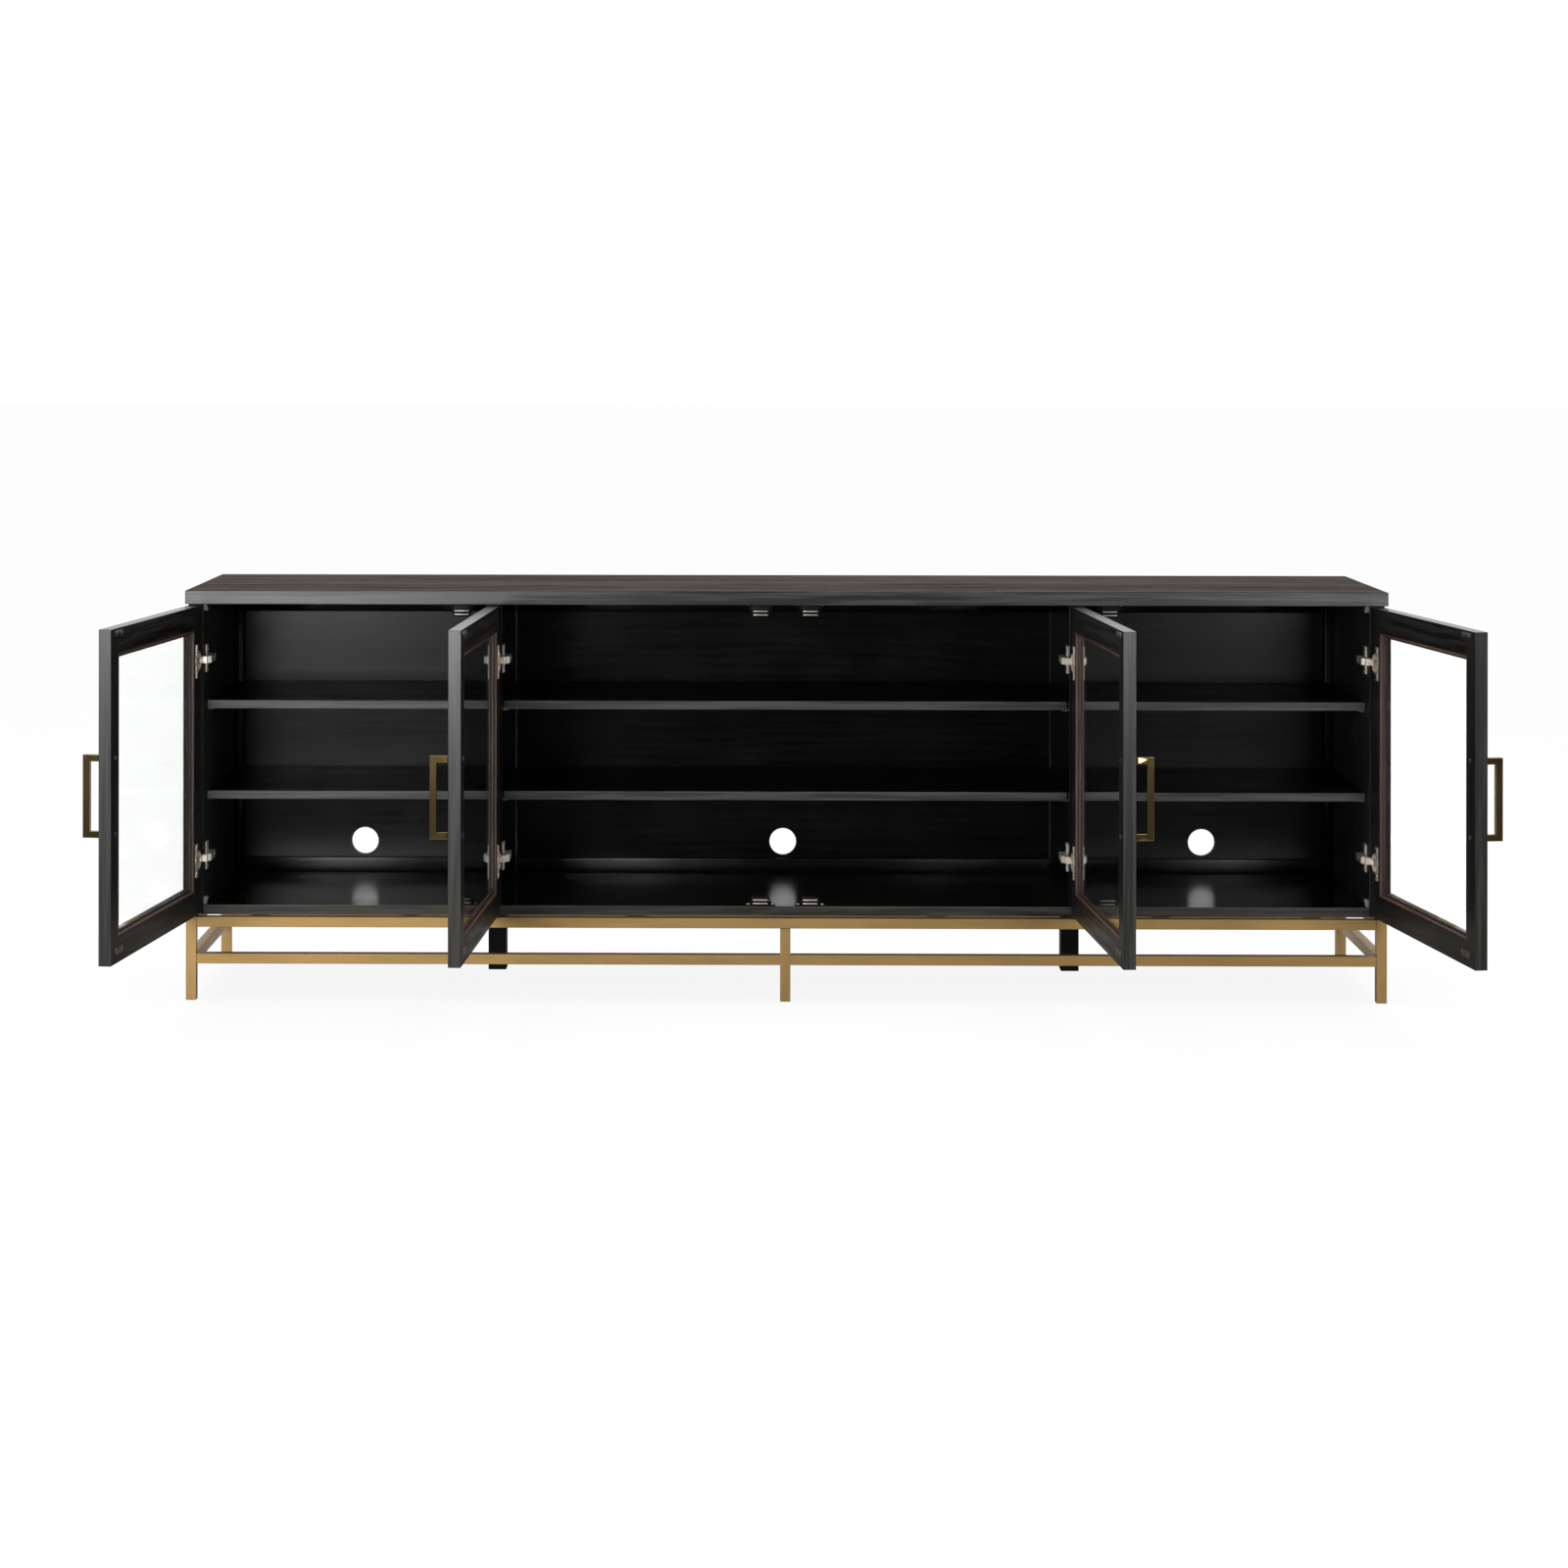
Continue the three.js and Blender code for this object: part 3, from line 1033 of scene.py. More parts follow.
@dataclass
class Base:
    """The welded square-tube base with its two wooden support legs.

    Args:
        finishes: where the finishes are kept.
        arris: rounding of the tubes' edges.
        support_arris: rounding of the wooden legs' edges.
        tab_size: length, depth and thickness of a screw tab.
        tab_places: where the tabs stand along the long top rails.
        seat_screw: radius and height of the screw head in a tab.
        upright: the tubes that stand.
        lengthwise: the tubes that run from left to right.
        crosswise: the tubes that run from front to back.
    """

    finishes: Finishes
    arris: float = 0.0007
    support_arris: float = 0.0015
    tab_size: Size = (0.034, 0.024, 0.002)
    tab_places: Sequence[float] = (-0.98, -0.7, -0.28, 0.28, 0.7, 0.98)
    seat_screw: Pair = (0.0042, 0.0022)
    upright: Sequence[str] = (
        "front_left_leg", "front_right_leg", "rear_left_leg", "rear_right_leg", "front_centre_leg",
    )
    lengthwise: Sequence[str] = (
        "front_top_rail", "rear_top_rail", "rear_lower_rail", "front_left_lower_rail",
        "front_right_lower_rail",
    )
    crosswise: Sequence[str] = ("left_top_rail", "right_top_rail", "left_lower_rail", "right_lower_rail")

    def dress(self) -> None:
        """Plates the tubes and paints the support legs."""
        for names, finish in (
            (self.upright, "gold_plate_upright"), (self.lengthwise, "gold_plate_flat"),
            (self.crosswise, "gold_plate_deep"),
        ):
            for name in names:
                self.finishes.dress_node(name, finish)
                ease_arrises(name, self.arris)
        for side in ("left", "right"):
            self.finishes.dress_node(f"{side}_support_leg", "black_paint")
            ease_arrises(f"{side}_support_leg", self.support_arris, 3)

    def build_tabs(self) -> None:
        """Welds screw tabs to the inside of the long top rails, under the carcass."""
        along, deep, thick = self.tab_size
        radius, height = self.seat_screw
        for rail, inward in (("front_top_rail", 1), ("rear_top_rail", -1)):
            low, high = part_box(rail)
            inner = high.y if inward > 0 else low.y
            tabs, screws = Shape(), Shape()
            for x in self.tab_places:
                tabs.absorb(block(
                    (x - along / 2, inner, high.z - thick), (x + along / 2, inner + inward * deep, high.z),
                ))
                seat = (x, inner + inward * deep * 0.6, high.z - thick)
                screws.absorb(screw(radius, height), facing((0, 0, -1), seat))
            side = rail.split("_")[0]
            tabs.finish(f"{side}_base_tabs", "cabinet", "gold_plate_flat", self.finishes)
            screws.finish(f"{side}_base_tab_screws", "cabinet", "bright_steel", self.finishes)


# ------------------------------------------------------------------ carcass


@dataclass
class Carcass:
    """The veneered box: panels, shelves, back rails, battens, shelf pins and corner brackets.

    Args:
        finishes: where the finishes are kept.
        arris: rounding of the panels' edges.
        back_arris: rounding of the back panels' edges.
        back_rail_height: height of the rail at the foot of each back panel.
        back_rail_depth: thickness of that rail.
        top_rail_height: height of the rail at the head of each back panel.
        top_rail_setback: how much thinner that rail is.
        batten: width and depth of the upright battens in the back corners.
        pin_radius: radius of a shelf pin's peg.
        pin_collar: radius of its collar.
        pin_reach: how far it stands out of the panel.
        pin_insets: distance of the pins from a shelf's front and back edges.
        bracket: width, depth and height of a corner bracket.
        bracket_setback: distance of the brackets behind the bottom panel's front edge.
        bracket_root: share of its width that a bracket keeps at its seat.
        bays: the bays from left to right.
    """

    finishes: Finishes
    arris: float = 0.0009
    back_arris: float = 0.0005
    back_rail_height: float = 0.029
    back_rail_depth: float = 0.012
    top_rail_height: float = 0.047
    top_rail_setback: float = 0.003
    batten: Pair = (0.0165, 0.014)
    pin_radius: float = 0.0025
    pin_collar: float = 0.0042
    pin_reach: float = 0.009
    pin_insets: Sequence[float] = (0.035, 0.042)
    bracket: Size = (0.0085, 0.014, 0.0145)
    bracket_setback: float = 0.002
    bracket_root: float = 0.62
    bays: Sequence[str] = ("left", "centre", "right")

    def dress(self) -> None:
        """Gives each panel its veneer and eases its arrises."""
        veneers = {
            "top_panel": "top_oak", "bottom_panel": "floor_oak",
            "left_side_panel": "side_oak", "right_side_panel": "side_oak",
            "left_partition": "inner_oak_upright", "right_partition": "inner_oak_upright",
        }
        for bay in self.bays:
            veneers[f"{bay}_back_panel"] = "inner_oak_flat"
            veneers[f"{bay}_upper_shelf"] = "shelf_oak"
            veneers[f"{bay}_lower_shelf"] = "shelf_oak"
        for node, finish in veneers.items():
            self.finishes.dress_node(node, finish)
            ease_arrises(node, self.back_arris if "back" in node else self.arris)

    def bay_span(self, bay: str) -> tuple[float, float]:
        """Finds the clear width of a bay between its panels.

        Args:
            bay: left, centre or right.

        Returns:
            Its left and right ends.
        """
        walls = ("left_side_panel", "left_partition", "right_partition", "right_side_panel")
        first = self.bays.index(bay)
        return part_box(walls[first])[1].x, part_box(walls[first + 1])[0].x

    def build_back_rails(self) -> None:
        """Fits the bottom and top rails in front of each back panel, and the corner battens."""
        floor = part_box("bottom_panel")[1].z
        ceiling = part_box("top_panel")[0].z
        for bay in self.bays:
            left, right = self.bay_span(bay)
            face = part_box(f"{bay}_back_panel")[0].y
            front = face - self.back_rail_depth
            low = block(
                (left + FIT_GAP, front, floor + FIT_GAP),
                (right - FIT_GAP, face - FIT_GAP, floor + self.back_rail_height), 0.0012, 3,
            )
            low.finish(f"{bay}_back_bottom_rail", "cabinet", "inner_oak_flat", self.finishes)
            high = block(
                (left + FIT_GAP, front + self.top_rail_setback, ceiling - self.top_rail_height),
                (right - FIT_GAP, face - FIT_GAP, ceiling - FIT_GAP), 0.0008, 2,
            )
            high.finish(f"{bay}_back_top_rail", "cabinet", "inner_oak_flat", self.finishes)
        wide, deep = self.batten
        for side, sign in (("left", -1), ("right", 1)):
            left, right = self.bay_span(side)
            wall = left if sign < 0 else right
            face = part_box(f"{side}_back_panel")[0].y
            ends = sorted((wall - sign * wide, wall - sign * FIT_GAP))
            rear = face - self.back_rail_depth
            batten = block(
                (ends[0], rear - deep, floor + FIT_GAP), (ends[1], rear - FIT_GAP, ceiling - FIT_GAP),
            )
            batten.finish(f"{side}_back_corner_batten", "cabinet", "inner_oak_upright", self.finishes)

    def pin(self, wall: float, inward: int, y: float, under: float) -> Shape:
        """Makes one shelf pin: a peg with a collar, pushed into the panel.

        Args:
            wall: the panel's face along X.
            inward: the direction into the bay.
            y: where the pin stands from front to back.
            under: height of the shelf's underside.

        Returns:
            The pin.
        """
        radius, collar, reach = self.pin_radius, self.pin_collar, self.pin_reach
        peg = turned((
            (0.0, -0.0002), (collar * 0.9, -0.0002), (collar, 0.0002), (collar, 0.0010),
            (collar * 0.9, 0.0013), (radius, 0.0013), (radius, reach - 0.0006),
            (radius - 0.0006, reach), (0.0, reach),
        ), 16)
        return Shape().absorb(peg, facing((inward, 0, 0), (wall, y, under - radius)))

    def build_pins(self) -> None:
        """Puts four pins under each shelf."""
        for bay in self.bays:
            left, right = self.bay_span(bay)
            for level in Level:
                low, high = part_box(f"{bay}_{level.value}_shelf")
                pins = Shape()
                for y in (low.y + self.pin_insets[0], high.y - self.pin_insets[1]):
                    pins.absorb(self.pin(left, 1, y, low.z))
                    pins.absorb(self.pin(right, -1, y, low.z))
                pins.finish(f"{bay}_{level.value}_shelf_pins", "cabinet", "nickel_plate", self.finishes)

    def build_brackets(self) -> None:
        """Fits the small wedge brackets in the front corners beside the side panels."""
        wide, deep, tall = self.bracket
        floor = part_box("bottom_panel")[1].z
        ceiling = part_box("top_panel")[0].z
        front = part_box("bottom_panel")[0].y + self.bracket_setback
        for side, sign in (("left", -1), ("right", 1)):
            left, right = self.bay_span(side)
            wall = left if sign < 0 else right
            for level, seat, rise in ((Level.UPPER, ceiling, -1), (Level.LOWER, floor, 1)):
                sides = sorted((wall, wall - sign * wide))
                ends = sorted((seat, seat + rise * tall))
                piece = block((sides[0], front, ends[0]), (sides[1], front + deep, ends[1]), 0.0008, 2)
                for vert in piece.bm.verts:
                    away = abs(vert.co.z - seat) / tall
                    share = self.bracket_root + (1.0 - self.bracket_root) * away
                    vert.co.x = wall - sign * abs(vert.co.x - wall) * share
                piece.finish(f"{side}_{level.value}_corner_bracket", "cabinet", "grey_plastic", self.finishes)


# ------------------------------------------------------------------ doors


@dataclass
class Door:
    """One glazed door with everything that rides on it, and its hinges and catches.

    Lengths are measured in the door's own frame: along from the hinge pivot towards the free
    edge, back from the pivot towards the inside of the cabinet when the door is shut, and up.

    Args:
        name: the door's body.
        finishes: where the finishes are kept.
        bead_play: gap between the bead and the edge of the glass recess.
        bead_shy: how far the bead's crest lies below the frame's inner face.
        bead_width: width of the flat crest and of the whole moulding.
        bead_step: depth from the crest to the top of the cove.
        bead_lip: depth from the crest to the foot of the cove.
        strike: length, width and thickness of a strike plate.
        strike_inset: distance of the strikes from the free edge.
        strike_drops: distance of each strike from the door's top or bottom edge.
        strike_screw: radius and height of its screw heads, and their distance from its middle.
        flange_screw: the same for the hinge cup's flange.
        flange_beyond_cup: distance of the flange from the cup's middle, towards the glass.
        handle_screw: radius and height of the handle's screw heads.
        plate_screw_rise: distance of the mounting plate's screws above and below its middle.
        plate_screw_back: distance of those screws behind the pivot.
        plate_face: distance of the plate's face from the pivot, across the panel.
        arm_screw_backs: distances of the arm's two screws behind the pivot.
        link_in_cup: where the links start in the cup, along and back.
        link_on_arm: where they end on the arm, with the door shut.
        link_section: width and thickness of the links.
        pole: width and thickness of a catch's magnet pole.
        pole_gap: distance between the two poles.
        catch_front: distance of the catch's face behind the door's inner face.
        catch_body: width, depth and height of a catch.
        ear: width and thickness of its screw ears.
        brace: reach and inset of the ribs between body and ears.
        catch_screw: radius and height of its screw heads, and their distance from its middle.
        catch_drops: distance of each catch's middle from the top or bottom panel.
    """

    name: str
    finishes: Finishes
    bead_play: float = 0.0007
    bead_shy: float = 0.0006
    bead_width: Pair = (0.0036, 0.0074)
    bead_step: float = 0.0022
    bead_lip: float = 0.0056
    strike: Size = (0.044, 0.0125, 0.0014)
    strike_inset: float = 0.045
    strike_drops: dict[Level, float] = field(
        default_factory=lambda: {Level.UPPER: 0.0105, Level.LOWER: 0.022},
    )
    strike_screw: Size = (0.0031, 0.0011, 0.013)
    flange_screw: Size = (0.0037, 0.0014, 0.0235)
    flange_beyond_cup: float = 0.0095
    handle_screw: Pair = (0.0042, 0.0022)
    plate_screw_rise: float = 0.0165
    plate_screw_back: float = 0.056
    plate_face: float = 0.0216
    arm_screw_backs: Sequence[float] = (0.031, 0.063)
    link_in_cup: Pair = (0.0150, 0.0100)
    link_on_arm: Pair = (0.0215, 0.0125)
    link_section: Pair = (0.0090, 0.0012)
    pole: Pair = (0.027, 0.0013)
    pole_gap: float = 0.0066
    catch_front: float = 0.0055
    catch_body: Size = (0.032, 0.017, 0.0155)
    ear: Pair = (0.056, 0.0018)
    brace: Pair = (0.0042, 0.0065)
    catch_screw: Size = (0.0034, 0.0016, 0.0225)
    catch_drops: dict[Level, float] = field(
        default_factory=lambda: {Level.UPPER: 0.0172, Level.LOWER: 0.0079},
    )

    def __post_init__(self) -> None:
        """Works out where the door stands and how big it is."""
        joint = next(j for j in frame["joints"] if j["name"] == f"{self.name}_hinge")
        self.hand = Hand.HINGED_LEFT if joint["axis"][2] > 0 else Hand.HINGED_RIGHT
        self.angle = -self.hand.value * math.radians(joint["range_deg"][1])
        self.pivot = Vector((joint["pos_m"][0], joint["pos_m"][1], 0.0))
        mirror = Matrix.Diagonal((self.hand.value, 1.0, 1.0, 1.0))
        self.closed = Matrix.Translation(self.pivot) @ mirror
        self.open = Matrix.Translation(self.pivot) @ Matrix.Rotation(self.angle, 4, "Z") @ mirror
        self.low, self.high = self.local_box(f"{self.name}_frame")
        self.middle = (self.low + self.high) / 2

    def local_box(self, node: str) -> tuple[Vector, Vector]:
        """Measures a node of the leaf in the door's own frame.

        Args:
            node: the node's name.

        Returns:
            Its lowest and highest corners.
        """
        home = self.open.inverted()
        points = [home @ v.co for v in frame["nodes"][node].data.vertices]
        return (
            Vector([min(p[i] for p in points) for i in range(3)]),
            Vector([max(p[i] for p in points) for i in range(3)]),
        )

    def finish_leaf_piece(self, shape: Shape, name: str, finish: str) -> Object:
        """Places a shape drawn in the door's frame and lets it ride on the door.

        Args:
            shape: the shape.
            name: the piece's name after the door's.
            finish: name of its finish.

        Returns:
            The piece.
        """
        placed = Shape().absorb(shape, self.open)
        return placed.finish(f"{self.name}_{name}", self.name, finish, self.finishes)

    def dress(self, shift: float) -> None:
        """Gives the CAD nodes of the door their finishes.

        Args:
            shift: moves the grain, so that no two doors match.
        """
        place = {
            "pivot": tuple(self.pivot), "turn": self.angle, "hand": self.hand, "middle": self.middle.x,
            "middle_height": self.middle.z,
        }
        glass_low, glass_high = self.local_box(f"{self.name}_glass")
        half = (glass_high.x - glass_low.x) / 2 + self.bead_play
        half_height = (glass_high.z - glass_low.z) / 2 + self.bead_play
        oak = self.finishes.add(FramedOakFinish(
            f"{self.name}_oak", "dark_oak", roughness=(0.34, 0.5), relief=0.25, specular=0.12, joint=half,
            half_width=(self.high.x - self.low.x) / 2, lip_roughness=(0.4, 0.5), coat_roughness=0.22,
            # The lip colours are partly a painted highlight on the door's edges.
            lip_dark=(0.014, 0.0136, 0.0128), lip_light=(0.042, 0.0405, 0.038),
            offset=(shift, 0.37 * shift, 0.21 * shift), **BLACK_OAK, **place,
        ))
        crest = self.high.y - self.bead_shy
        self.bead_finish = self.finishes.add(FramedOakFinish(
            f"{self.name}_bead_wood", "dark_oak", dark=(0.050, 0.022, 0.013), light=(0.135, 0.066, 0.042),
            pore=(0.045, 0.020, 0.012), roughness=(0.35, 0.5), relief=0.2, ring_density=90.0, mitred=True,
            joint=half, half_height=half_height, offset=(0.3 + shift, 0.1, 0.7),
            cove=(crest - self.bead_lip, crest - self.bead_step), **place,
        ))
        self.finishes.dress_node(f"{self.name}_frame", oak)
        self.finishes.dress_node(f"{self.name}_glass", "clear_glass")
        self.finishes.dress_node(f"{self.name}_handle", "polished_brass")
        ease_arrises(f"{self.name}_frame", 0.0007)
        ease_arrises(f"{self.name}_handle", 0.0006)
        for level in Level:
            for part, arris in (("hinge_cup", 0.0002), ("hinge_arm", 0.0006)):
                node = f"{self.name}_{level.value}_{part}"
                self.finishes.dress_node(node, "nickel_plate")
                ease_arrises(node, arris)

    def build_bead(self) -> None:
        """Fits the moulded bead that holds the glass: a flat crest, a step, a cove and a fillet."""
        low, high = self.local_box(f"{self.name}_glass")
        half_width = (high.x - low.x) / 2 + self.bead_play
        half_height = (high.z - low.z) / 2 + self.bead_play
        seat = high.y + FIT_GAP
        crest = self.high.y - self.bead_shy
        flat, width = self.bead_width
        step, lip = crest - self.bead_step, crest - self.bead_lip
        ease = 0.0005
        section = [
            (0.0, seat), (0.0, crest - ease), (ease, crest), (flat - ease, crest), (flat, crest - ease),
        ]
        for part in range(7):
            turn = math.radians(90 * part / 6)
            section.append((width - (width - flat) * math.cos(turn), step - (step - lip) * math.sin(turn)))
        section += [(width + ease, lip - ease), (width + ease, seat)]
        shape = picture_frame(section, half_width, half_height)
        centre = ((low.x + high.x) / 2, 0, (low.z + high.z) / 2)
        bmesh.ops.translate(shape.bm, vec=centre, verts=shape.bm.verts)
        self.finish_leaf_piece(shape, "glazing_bead", self.bead_finish)

    def build_strikes(self) -> None:
        """Screws the steel strike plates for the magnetic catches to the inner face."""
        length, width, thick = self.strike
        radius, height, spread = self.strike_screw
        x = self.high.x - self.strike_inset
        for level in Level:
            drop = self.strike_drops[level]
            z = self.high.z - drop if level is Level.UPPER else self.low.z + drop
            seat = facing((0, 1, 0), (x, self.high.y, z), math.pi)
            plate = Shape().absorb(stadium(length, width, thick), seat)
            self.finish_leaf_piece(plate, f"{level.value}_strike", "dark_steel")
            screws = Shape()
            for dx in (-spread, spread):
                at = (x + dx, self.high.y + thick, z)
                screws.absorb(screw(radius, height), facing((0, 1, 0), at, 0.6))
            self.finish_leaf_piece(screws, f"{level.value}_strike_screws", "dark_steel")

    def build_handle_screws(self) -> None:
        """Puts the two screws that hold the handle on the door's inner face."""
        low, high = self.local_box(f"{self.name}_handle")
        bar = high.x - low.x
        radius, height = self.handle_screw
        screws = Shape()
        for z in (low.z + bar / 2, high.z - bar / 2):
            at = ((low.x + high.x) / 2, self.high.y, z)
            screws.absorb(screw(radius, height), facing((0, 1, 0), at, 0.3))
        self.finish_leaf_piece(screws, "handle_screws", "dark_steel")

    def build_hinge_screws(self) -> None:
        """Puts the screws on the hinge flanges, plates and arms."""
        radius, height, rise = self.flange_screw
        for level in Level:
            low, high = self.local_box(f"{self.name}_{level.value}_hinge_cup")
            middle = (low + high) / 2
            screws = Shape()
            for dz in (-rise, rise):
                at = (middle.x + self.flange_beyond_cup, high.y, middle.z + dz)
                screws.absorb(screw(radius, height), facing((0, 1, 0), at, 0.4))
            self.finish_leaf_piece(screws, f"{level.value}_hinge_cup_screws", "bright_steel")

            arm = f"{self.name}_{level.value}_hinge_arm"
            arm_low, arm_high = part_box(arm)
            sign = self.hand.value
            outer = arm_high.x if sign > 0 else arm_low.x
            foot = self.pivot.x + sign * self.plate_face
            z = (arm_low.z + arm_high.z) / 2
            fixed = Shape()
            for dz in (-self.plate_screw_rise, self.plate_screw_rise):
                at = (foot, self.pivot.y + self.plate_screw_back, z + dz)
                fixed.absorb(screw(radius, height), facing((sign, 0, 0), at, 0.5))
            for back in self.arm_screw_backs:
                at = (outer, self.pivot.y + back, z)
                fixed.absorb(screw(radius * 0.9, height), facing((sign, 0, 0), at, 0.2))
            fixed.finish(f"{arm}_screws", "cabinet", "bright_steel", self.finishes)

    def build_hinge_links(self) -> None:
        """Joins each cup to its arm with a pressed link: a web between two flanges."""
        width, thick = self.link_section
        for level in Level:
            arm_low, arm_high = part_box(f"{self.name}_{level.value}_hinge_arm")
            z = (arm_low.z + arm_high.z) / 2
            in_cup = self.open @ Vector((*self.link_in_cup, z))
            on_arm = self.closed @ Vector((*self.link_on_arm, z))
            reach = on_arm - in_cup
            links = Shape()
            for side in (-1, 0, 1):
                half = width / 2 if side == 0 else thick / 2
                edge = side * (width + thick) / 2
                depth = thick / 2 if side == 0 else width * 0.32
                bar = block((0.0, -depth, edge - half), (reach.length, depth, edge + half), 0.0004, 2)
                ends = {edge: [vert.co.x for vert in edge.verts] for edge in bar.bm.edges}
                lengthwise = [edge for edge, (a, b) in ends.items() if abs(a - b) > reach.length / 2]
                bmesh.ops.subdivide_edges(bar.bm, edges=lengthwise, cuts=10, use_grid_fill=True)
                links.absorb(bar)
            turn = Matrix.Rotation(math.atan2(reach.y, reach.x), 4, "Z")
            name = f"{self.name}_{level.value}_hinge_links"
            placed = Shape().absorb(links, Matrix.Translation(in_cup) @ turn)
            piece = placed.finish(name, None, "nickel_plate", self.finishes)
            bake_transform(piece)

    def build_catches(self) -> None:
        """Fixes the magnetic catches that meet the strike plates when the door shuts."""
        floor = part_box("bottom_panel")[1].z
        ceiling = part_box("top_panel")[0].z
        width, deep, tall = self.catch_body
        ear_width, ear_thick = self.ear
        pole_width, pole_thick = self.pole
        brace_reach, brace_inset = self.brace
        radius, height, spread = self.catch_screw
        x = self.pivot.x + self.hand.value * (self.high.x - self.strike_inset)
        front = self.pivot.y + self.high.y + self.catch_front
        for level, seat, rise in ((Level.UPPER, ceiling, -1), (Level.LOWER, floor, 1)):
            z = seat + rise * self.catch_drops[level]
            far = z + rise * tall / 2
            base = seat + rise * 0.0002
            tip = base + rise * ear_thick
            housing = Shape()
            housing.absorb(block(
                (x - width / 2, front, min(base, far)),
                (x + width / 2, front + deep, max(base, far)), 0.0012, 3,
            ))
            housing.absorb(block(
                (x - ear_width / 2, front + 0.002, min(base, tip)),
                (x + ear_width / 2, front + deep - 0.003, max(base, tip)), 0.0006, 2,
            ))
            for end in (-1, 1):
                housing.absorb(block(
                    (x + end * width / 2 - 0.001, front + brace_inset, min(base, z)),
                    (x + end * (width / 2 + brace_reach), front + deep - brace_inset, max(base, z)),
                    0.0008, 2,
                ))
            housing.finish(f"{self.name}_{level.value}_catch", "cabinet", "black_plastic", self.finishes)
            poles = Shape()
            for dz in (-self.pole_gap / 2, self.pole_gap / 2):
                poles.absorb(block(
                    (x - pole_width / 2, front - 0.0018, z + dz - pole_thick / 2),
                    (x + pole_width / 2, front + 0.004, z + dz + pole_thick / 2), 0.0003, 2,
                ))
            poles.finish(f"{self.name}_{level.value}_catch_poles", "cabinet", "nickel_plate", self.finishes)
            screws = Shape()
            for dx in (-spread, spread):
                at = (x + dx, front + deep / 2, tip)
                screws.absorb(screw(radius, height), facing((0, 0, rise), at, 0.4))
            screws.finish(f"{self.name}_{level.value}_catch_screws", "cabinet", "nickel_plate", self.finishes)

    def build(self, shift: float) -> None:
        """Dresses the door and adds its pieces.

        Args:
            shift: moves the grain, so that no two doors match.
        """
        self.dress(shift)
        self.build_bead()
        self.build_strikes()
        self.build_handle_screws()
        self.build_hinge_screws()
        self.build_hinge_links()
        self.build_catches()


# ------------------------------------------------------------------ studio


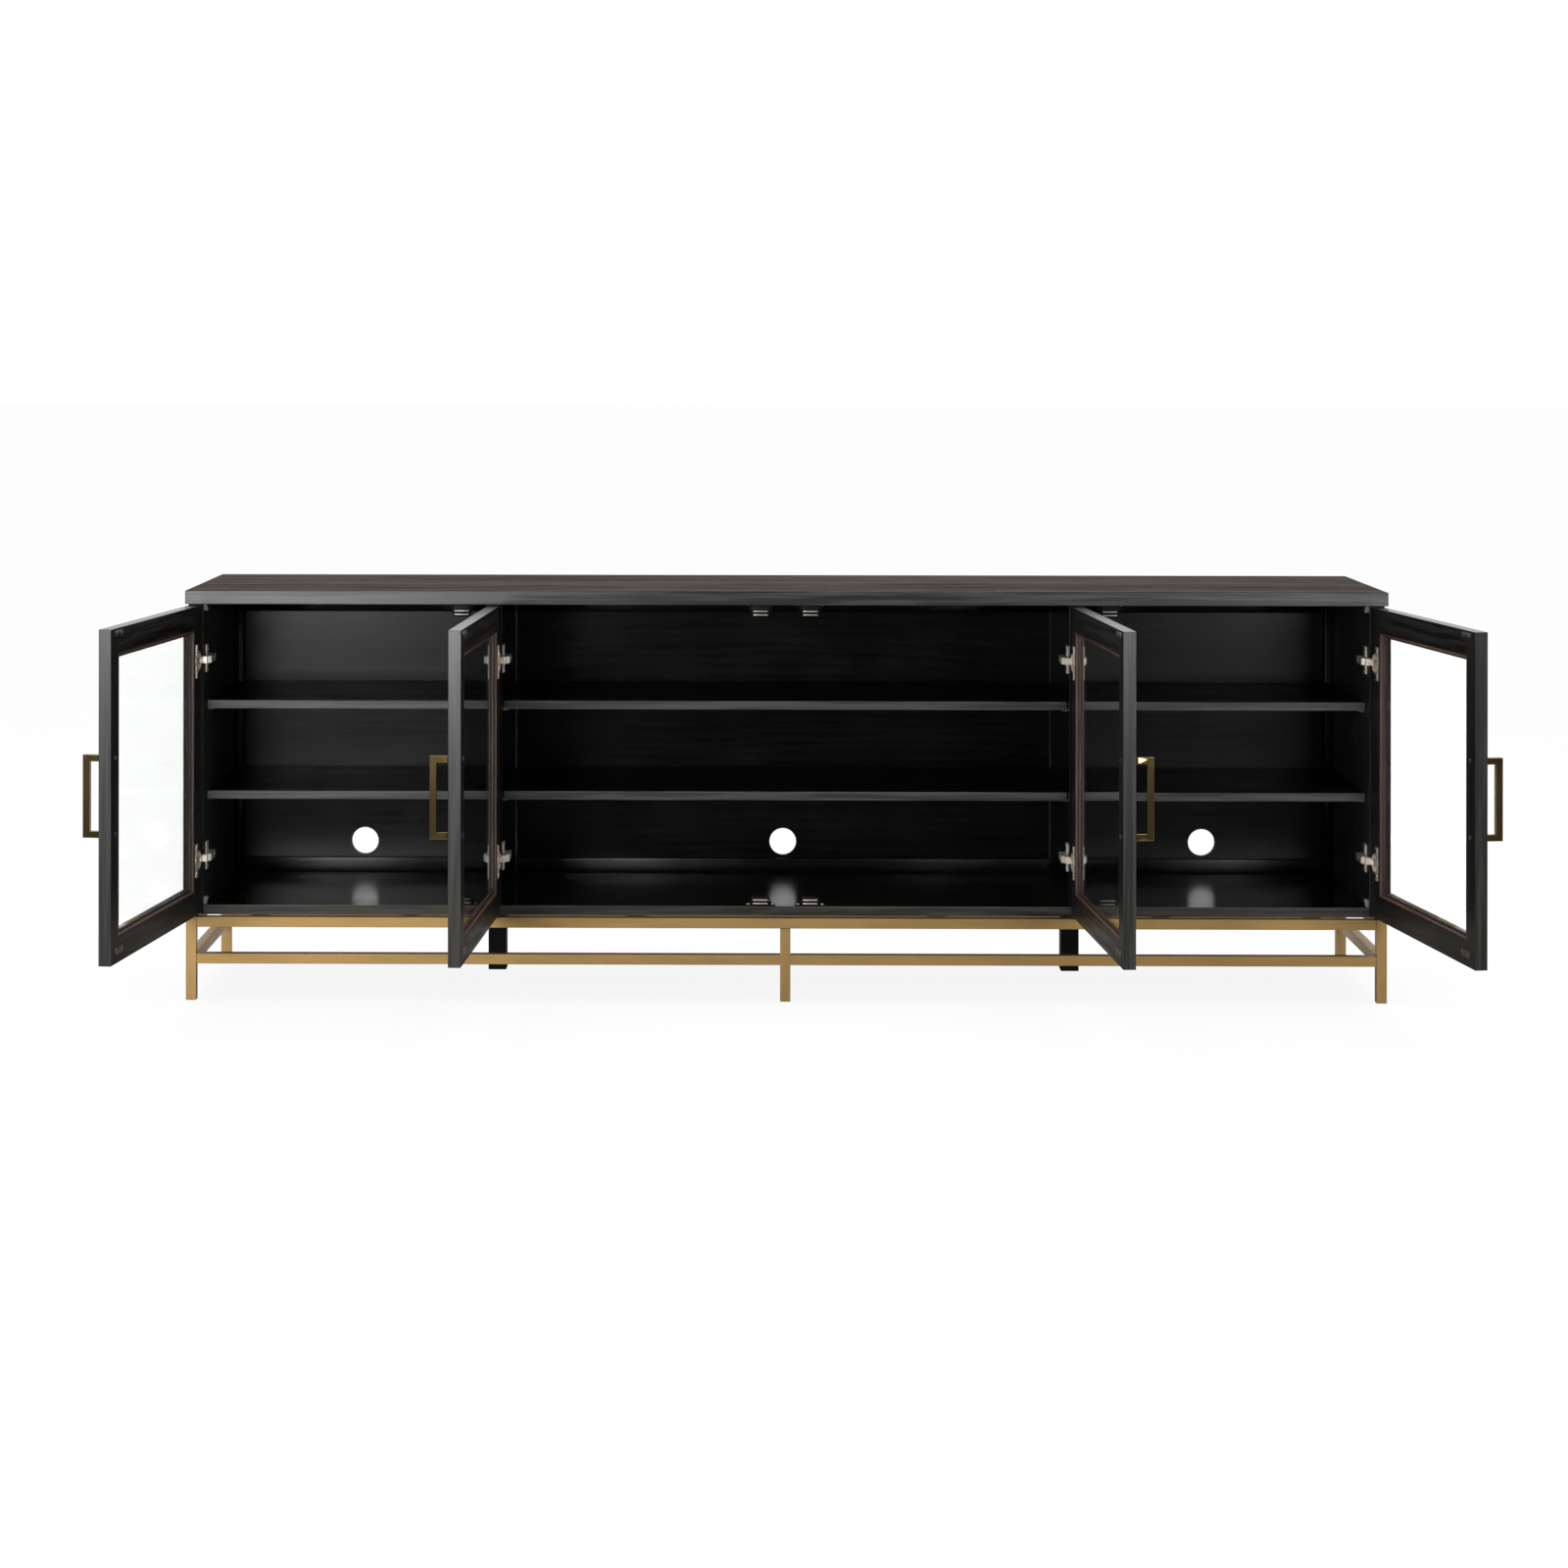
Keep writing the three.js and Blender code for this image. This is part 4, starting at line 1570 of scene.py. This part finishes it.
@dataclass
class Studio:
    """The white floor, the soft lights and the camera.

    The floor and the sky are white to the camera and through glass. To other rays the sky is dim
    in front, and the floor is dark there, so that the inside of the cabinet stays dark.

    Args:
        lens: focal length in millimetres.
        camera_place: where the camera stands.
        camera_yaw: its turn to the left, in radians.
        camera_roll: its roll, in radians.
        shift: lens shift along and up, in widths of the frame.
        sky_seen: brightness of the sky that the camera sees.
        sky_front: brightness of the light from the front.
        sky_back: brightness of the light from the back.
        sky_above: brightness of the light from overhead.
        floor_glow: brightness of the floor's own glow.
        floor_share: share of that glow in what the camera sees of the floor.
        through_glass: brightness of sky and floor seen through glass.
        dark_floor: depths between which the floor in front turns from dark to pale.
    """

    lens: float = 79.04
    camera_place: Point = (-0.0767, -6.4062, 1.2252)
    camera_yaw: float = 0.01019
    camera_roll: float = 0.00114
    shift: Pair = (0.04743, -0.28174)
    sky_seen: float = 1.05
    sky_front: float = 0.16
    sky_back: float = 0.75
    sky_above: float = 0.9
    floor_glow: float = 1.115
    floor_share: float = 0.8
    through_glass: float = 1.52
    dark_floor: Pair = (-1.3, -0.6)

    def build_floor(self) -> None:
        """Lays a wide floor that looks white and still takes a faint shadow."""
        bm = bmesh.new()
        bmesh.ops.create_grid(bm, x_segments=1, y_segments=1, size=60.0)
        bmesh.ops.translate(bm, vec=(0, 0, -0.0002), verts=bm.verts)
        mesh = bpy.data.meshes.new("studio_floor")
        bm.to_mesh(mesh)
        bm.free()
        floor = bpy.data.objects.new("studio_floor", mesh)
        bpy.context.scene.collection.objects.link(floor)
        material = bpy.data.materials.new("studio_floor")
        material.use_nodes = True
        shader = material.node_tree.nodes["Principled BSDF"]
        board = NodeBoard(material.node_tree)
        place = board.add("ShaderNodeTexCoord").outputs["Object"]
        ray = board.add("ShaderNodeLightPath").outputs
        tone = board.blend(board.noise(place, 3.0, 3.0), (0.50, 0.50, 0.50), (0.54, 0.54, 0.54))
        depth = board.add("ShaderNodeSeparateXYZ", {0: place}).outputs[1]
        away = board.span(depth, *self.dark_floor, (1.0, 0.0))
        hidden = board.math("MULTIPLY", away, board.math("SUBTRACT", 1.0, ray["Is Camera Ray"]))
        tone = board.blend(hidden, tone, (0.05, 0.05, 0.05))
        board.link(tone, shader, "Base Color")
        shader.inputs["Roughness"].default_value = 0.9
        shader.inputs["Specular IOR Level"].default_value = 0.0
        gain = self.through_glass - self.floor_glow
        strength = board.math("MULTIPLY_ADD", ray["Is Transmission Ray"], gain, self.floor_glow)
        share = board.math("MULTIPLY_ADD", ray["Is Camera Ray"], self.floor_share, ray["Is Transmission Ray"])
        glow = board.add("ShaderNodeEmission", {"Strength": strength})
        mixed = board.add("ShaderNodeMixShader", {0: share, 1: shader.outputs[0], 2: glow.outputs[0]})
        board.link(mixed.outputs[0], material.node_tree.nodes["Material Output"], "Surface")
        mesh.materials.append(material)

    def build_sky(self) -> None:
        """Surrounds the scene with soft light, dim in front, and with pure white for the camera."""
        world = bpy.data.worlds.new("studio")
        bpy.context.scene.world = world
        world.use_nodes = True
        board = NodeBoard(world.node_tree)
        background = world.node_tree.nodes["Background"]
        heading = board.add("ShaderNodeTexCoord").outputs["Generated"]
        parts = board.add("ShaderNodeSeparateXYZ", {0: heading}).outputs
        behind = board.span(parts[1], -0.3, 0.6, (self.sky_front, self.sky_back))
        above = board.span(parts[2], 0.25, 0.95)
        soft = board.math("MULTIPLY_ADD", above, self.sky_above - self.sky_front, behind)
        ray = board.add("ShaderNodeLightPath").outputs
        seen = board.math("ADD", ray["Is Camera Ray"], ray["Is Transmission Ray"])
        plain = board.math("SUBTRACT", 1.0, seen)
        strength = board.math("MULTIPLY", plain, soft)
        strength = board.math("MULTIPLY_ADD", ray["Is Camera Ray"], self.sky_seen, strength)
        strength = board.math("MULTIPLY_ADD", ray["Is Transmission Ray"], self.through_glass, strength)
        board.link(strength, background, "Strength")
        background.inputs["Color"].default_value = (1.0, 1.0, 1.0, 1.0)

    def softbox(self, name: str, place: Point, target: Point, size: Pair, power: float) -> None:
        """Hangs one soft area light.

        Args:
            name: the light's name.
            place: where it hangs.
            target: what it points at.
            size: its width and height.
            power: its power in watts.
        """
        data = bpy.data.lights.new(name, "AREA")
        data.shape = "RECTANGLE"
        data.size, data.size_y = size
        data.energy = power
        light = bpy.data.objects.new(name, data)
        light.location = place
        aim = Vector(target) - Vector(place)
        light.rotation_euler = aim.to_track_quat("-Z", "Y").to_euler()
        light.visible_camera = False
        bpy.context.scene.collection.objects.link(light)

    def build_lights(self) -> None:
        """Hangs a light overhead, a large one in front on the left and a smaller one on the right."""
        self.softbox("overhead", (0.0, 0.3, 3.4), (0.0, 0.1, 0.4), (5.0, 2.4), 80.0)
        self.softbox("left_front", (-2.1, -5.0, 1.05), (-0.7, 0.0, 0.5), (1.9, 1.6), 125.0)
        self.softbox("right_front", (2.2, -5.0, 1.05), (0.7, 0.0, 0.5), (1.4, 1.6), 46.0)

    def build_camera(self) -> None:
        """Sets up the camera, level, with its view moved down by the lens shift."""
        data = bpy.data.cameras.new("camera")
        data.lens = self.lens
        data.sensor_width = 36.0
        data.shift_x, data.shift_y = self.shift
        data.clip_end = 200.0
        camera = bpy.data.objects.new("camera", data)
        camera.matrix_world = (
            Matrix.Translation(self.camera_place) @ Matrix.Rotation(self.camera_yaw, 4, "Z")
            @ Matrix.Rotation(math.pi / 2, 4, "X") @ Matrix.Rotation(self.camera_roll, 4, "Z")
        )
        bpy.context.scene.collection.objects.link(camera)
        bpy.context.scene.camera = camera

    def build(self) -> None:
        """Builds the studio."""
        view = bpy.context.scene.view_settings
        view.view_transform = "Standard"
        view.look = "None"
        self.build_floor()
        self.build_sky()
        self.build_lights()
        self.build_camera()


def main() -> None:
    """Builds the studio and the cabinet, from the base up."""
    logging.basicConfig(level=logging.INFO, format="%(name)s %(message)s")
    Studio().build()
    finishes = Finishes()
    base = Base(finishes)
    base.dress()
    base.build_tabs()
    carcass = Carcass(finishes)
    carcass.dress()
    carcass.build_back_rails()
    carcass.build_pins()
    carcass.build_brackets()
    for number, name in enumerate(DOORS):
        Door(name, finishes).build(GRAIN_START + GRAIN_STEP * number)


if __name__ == "__main__":
    main()
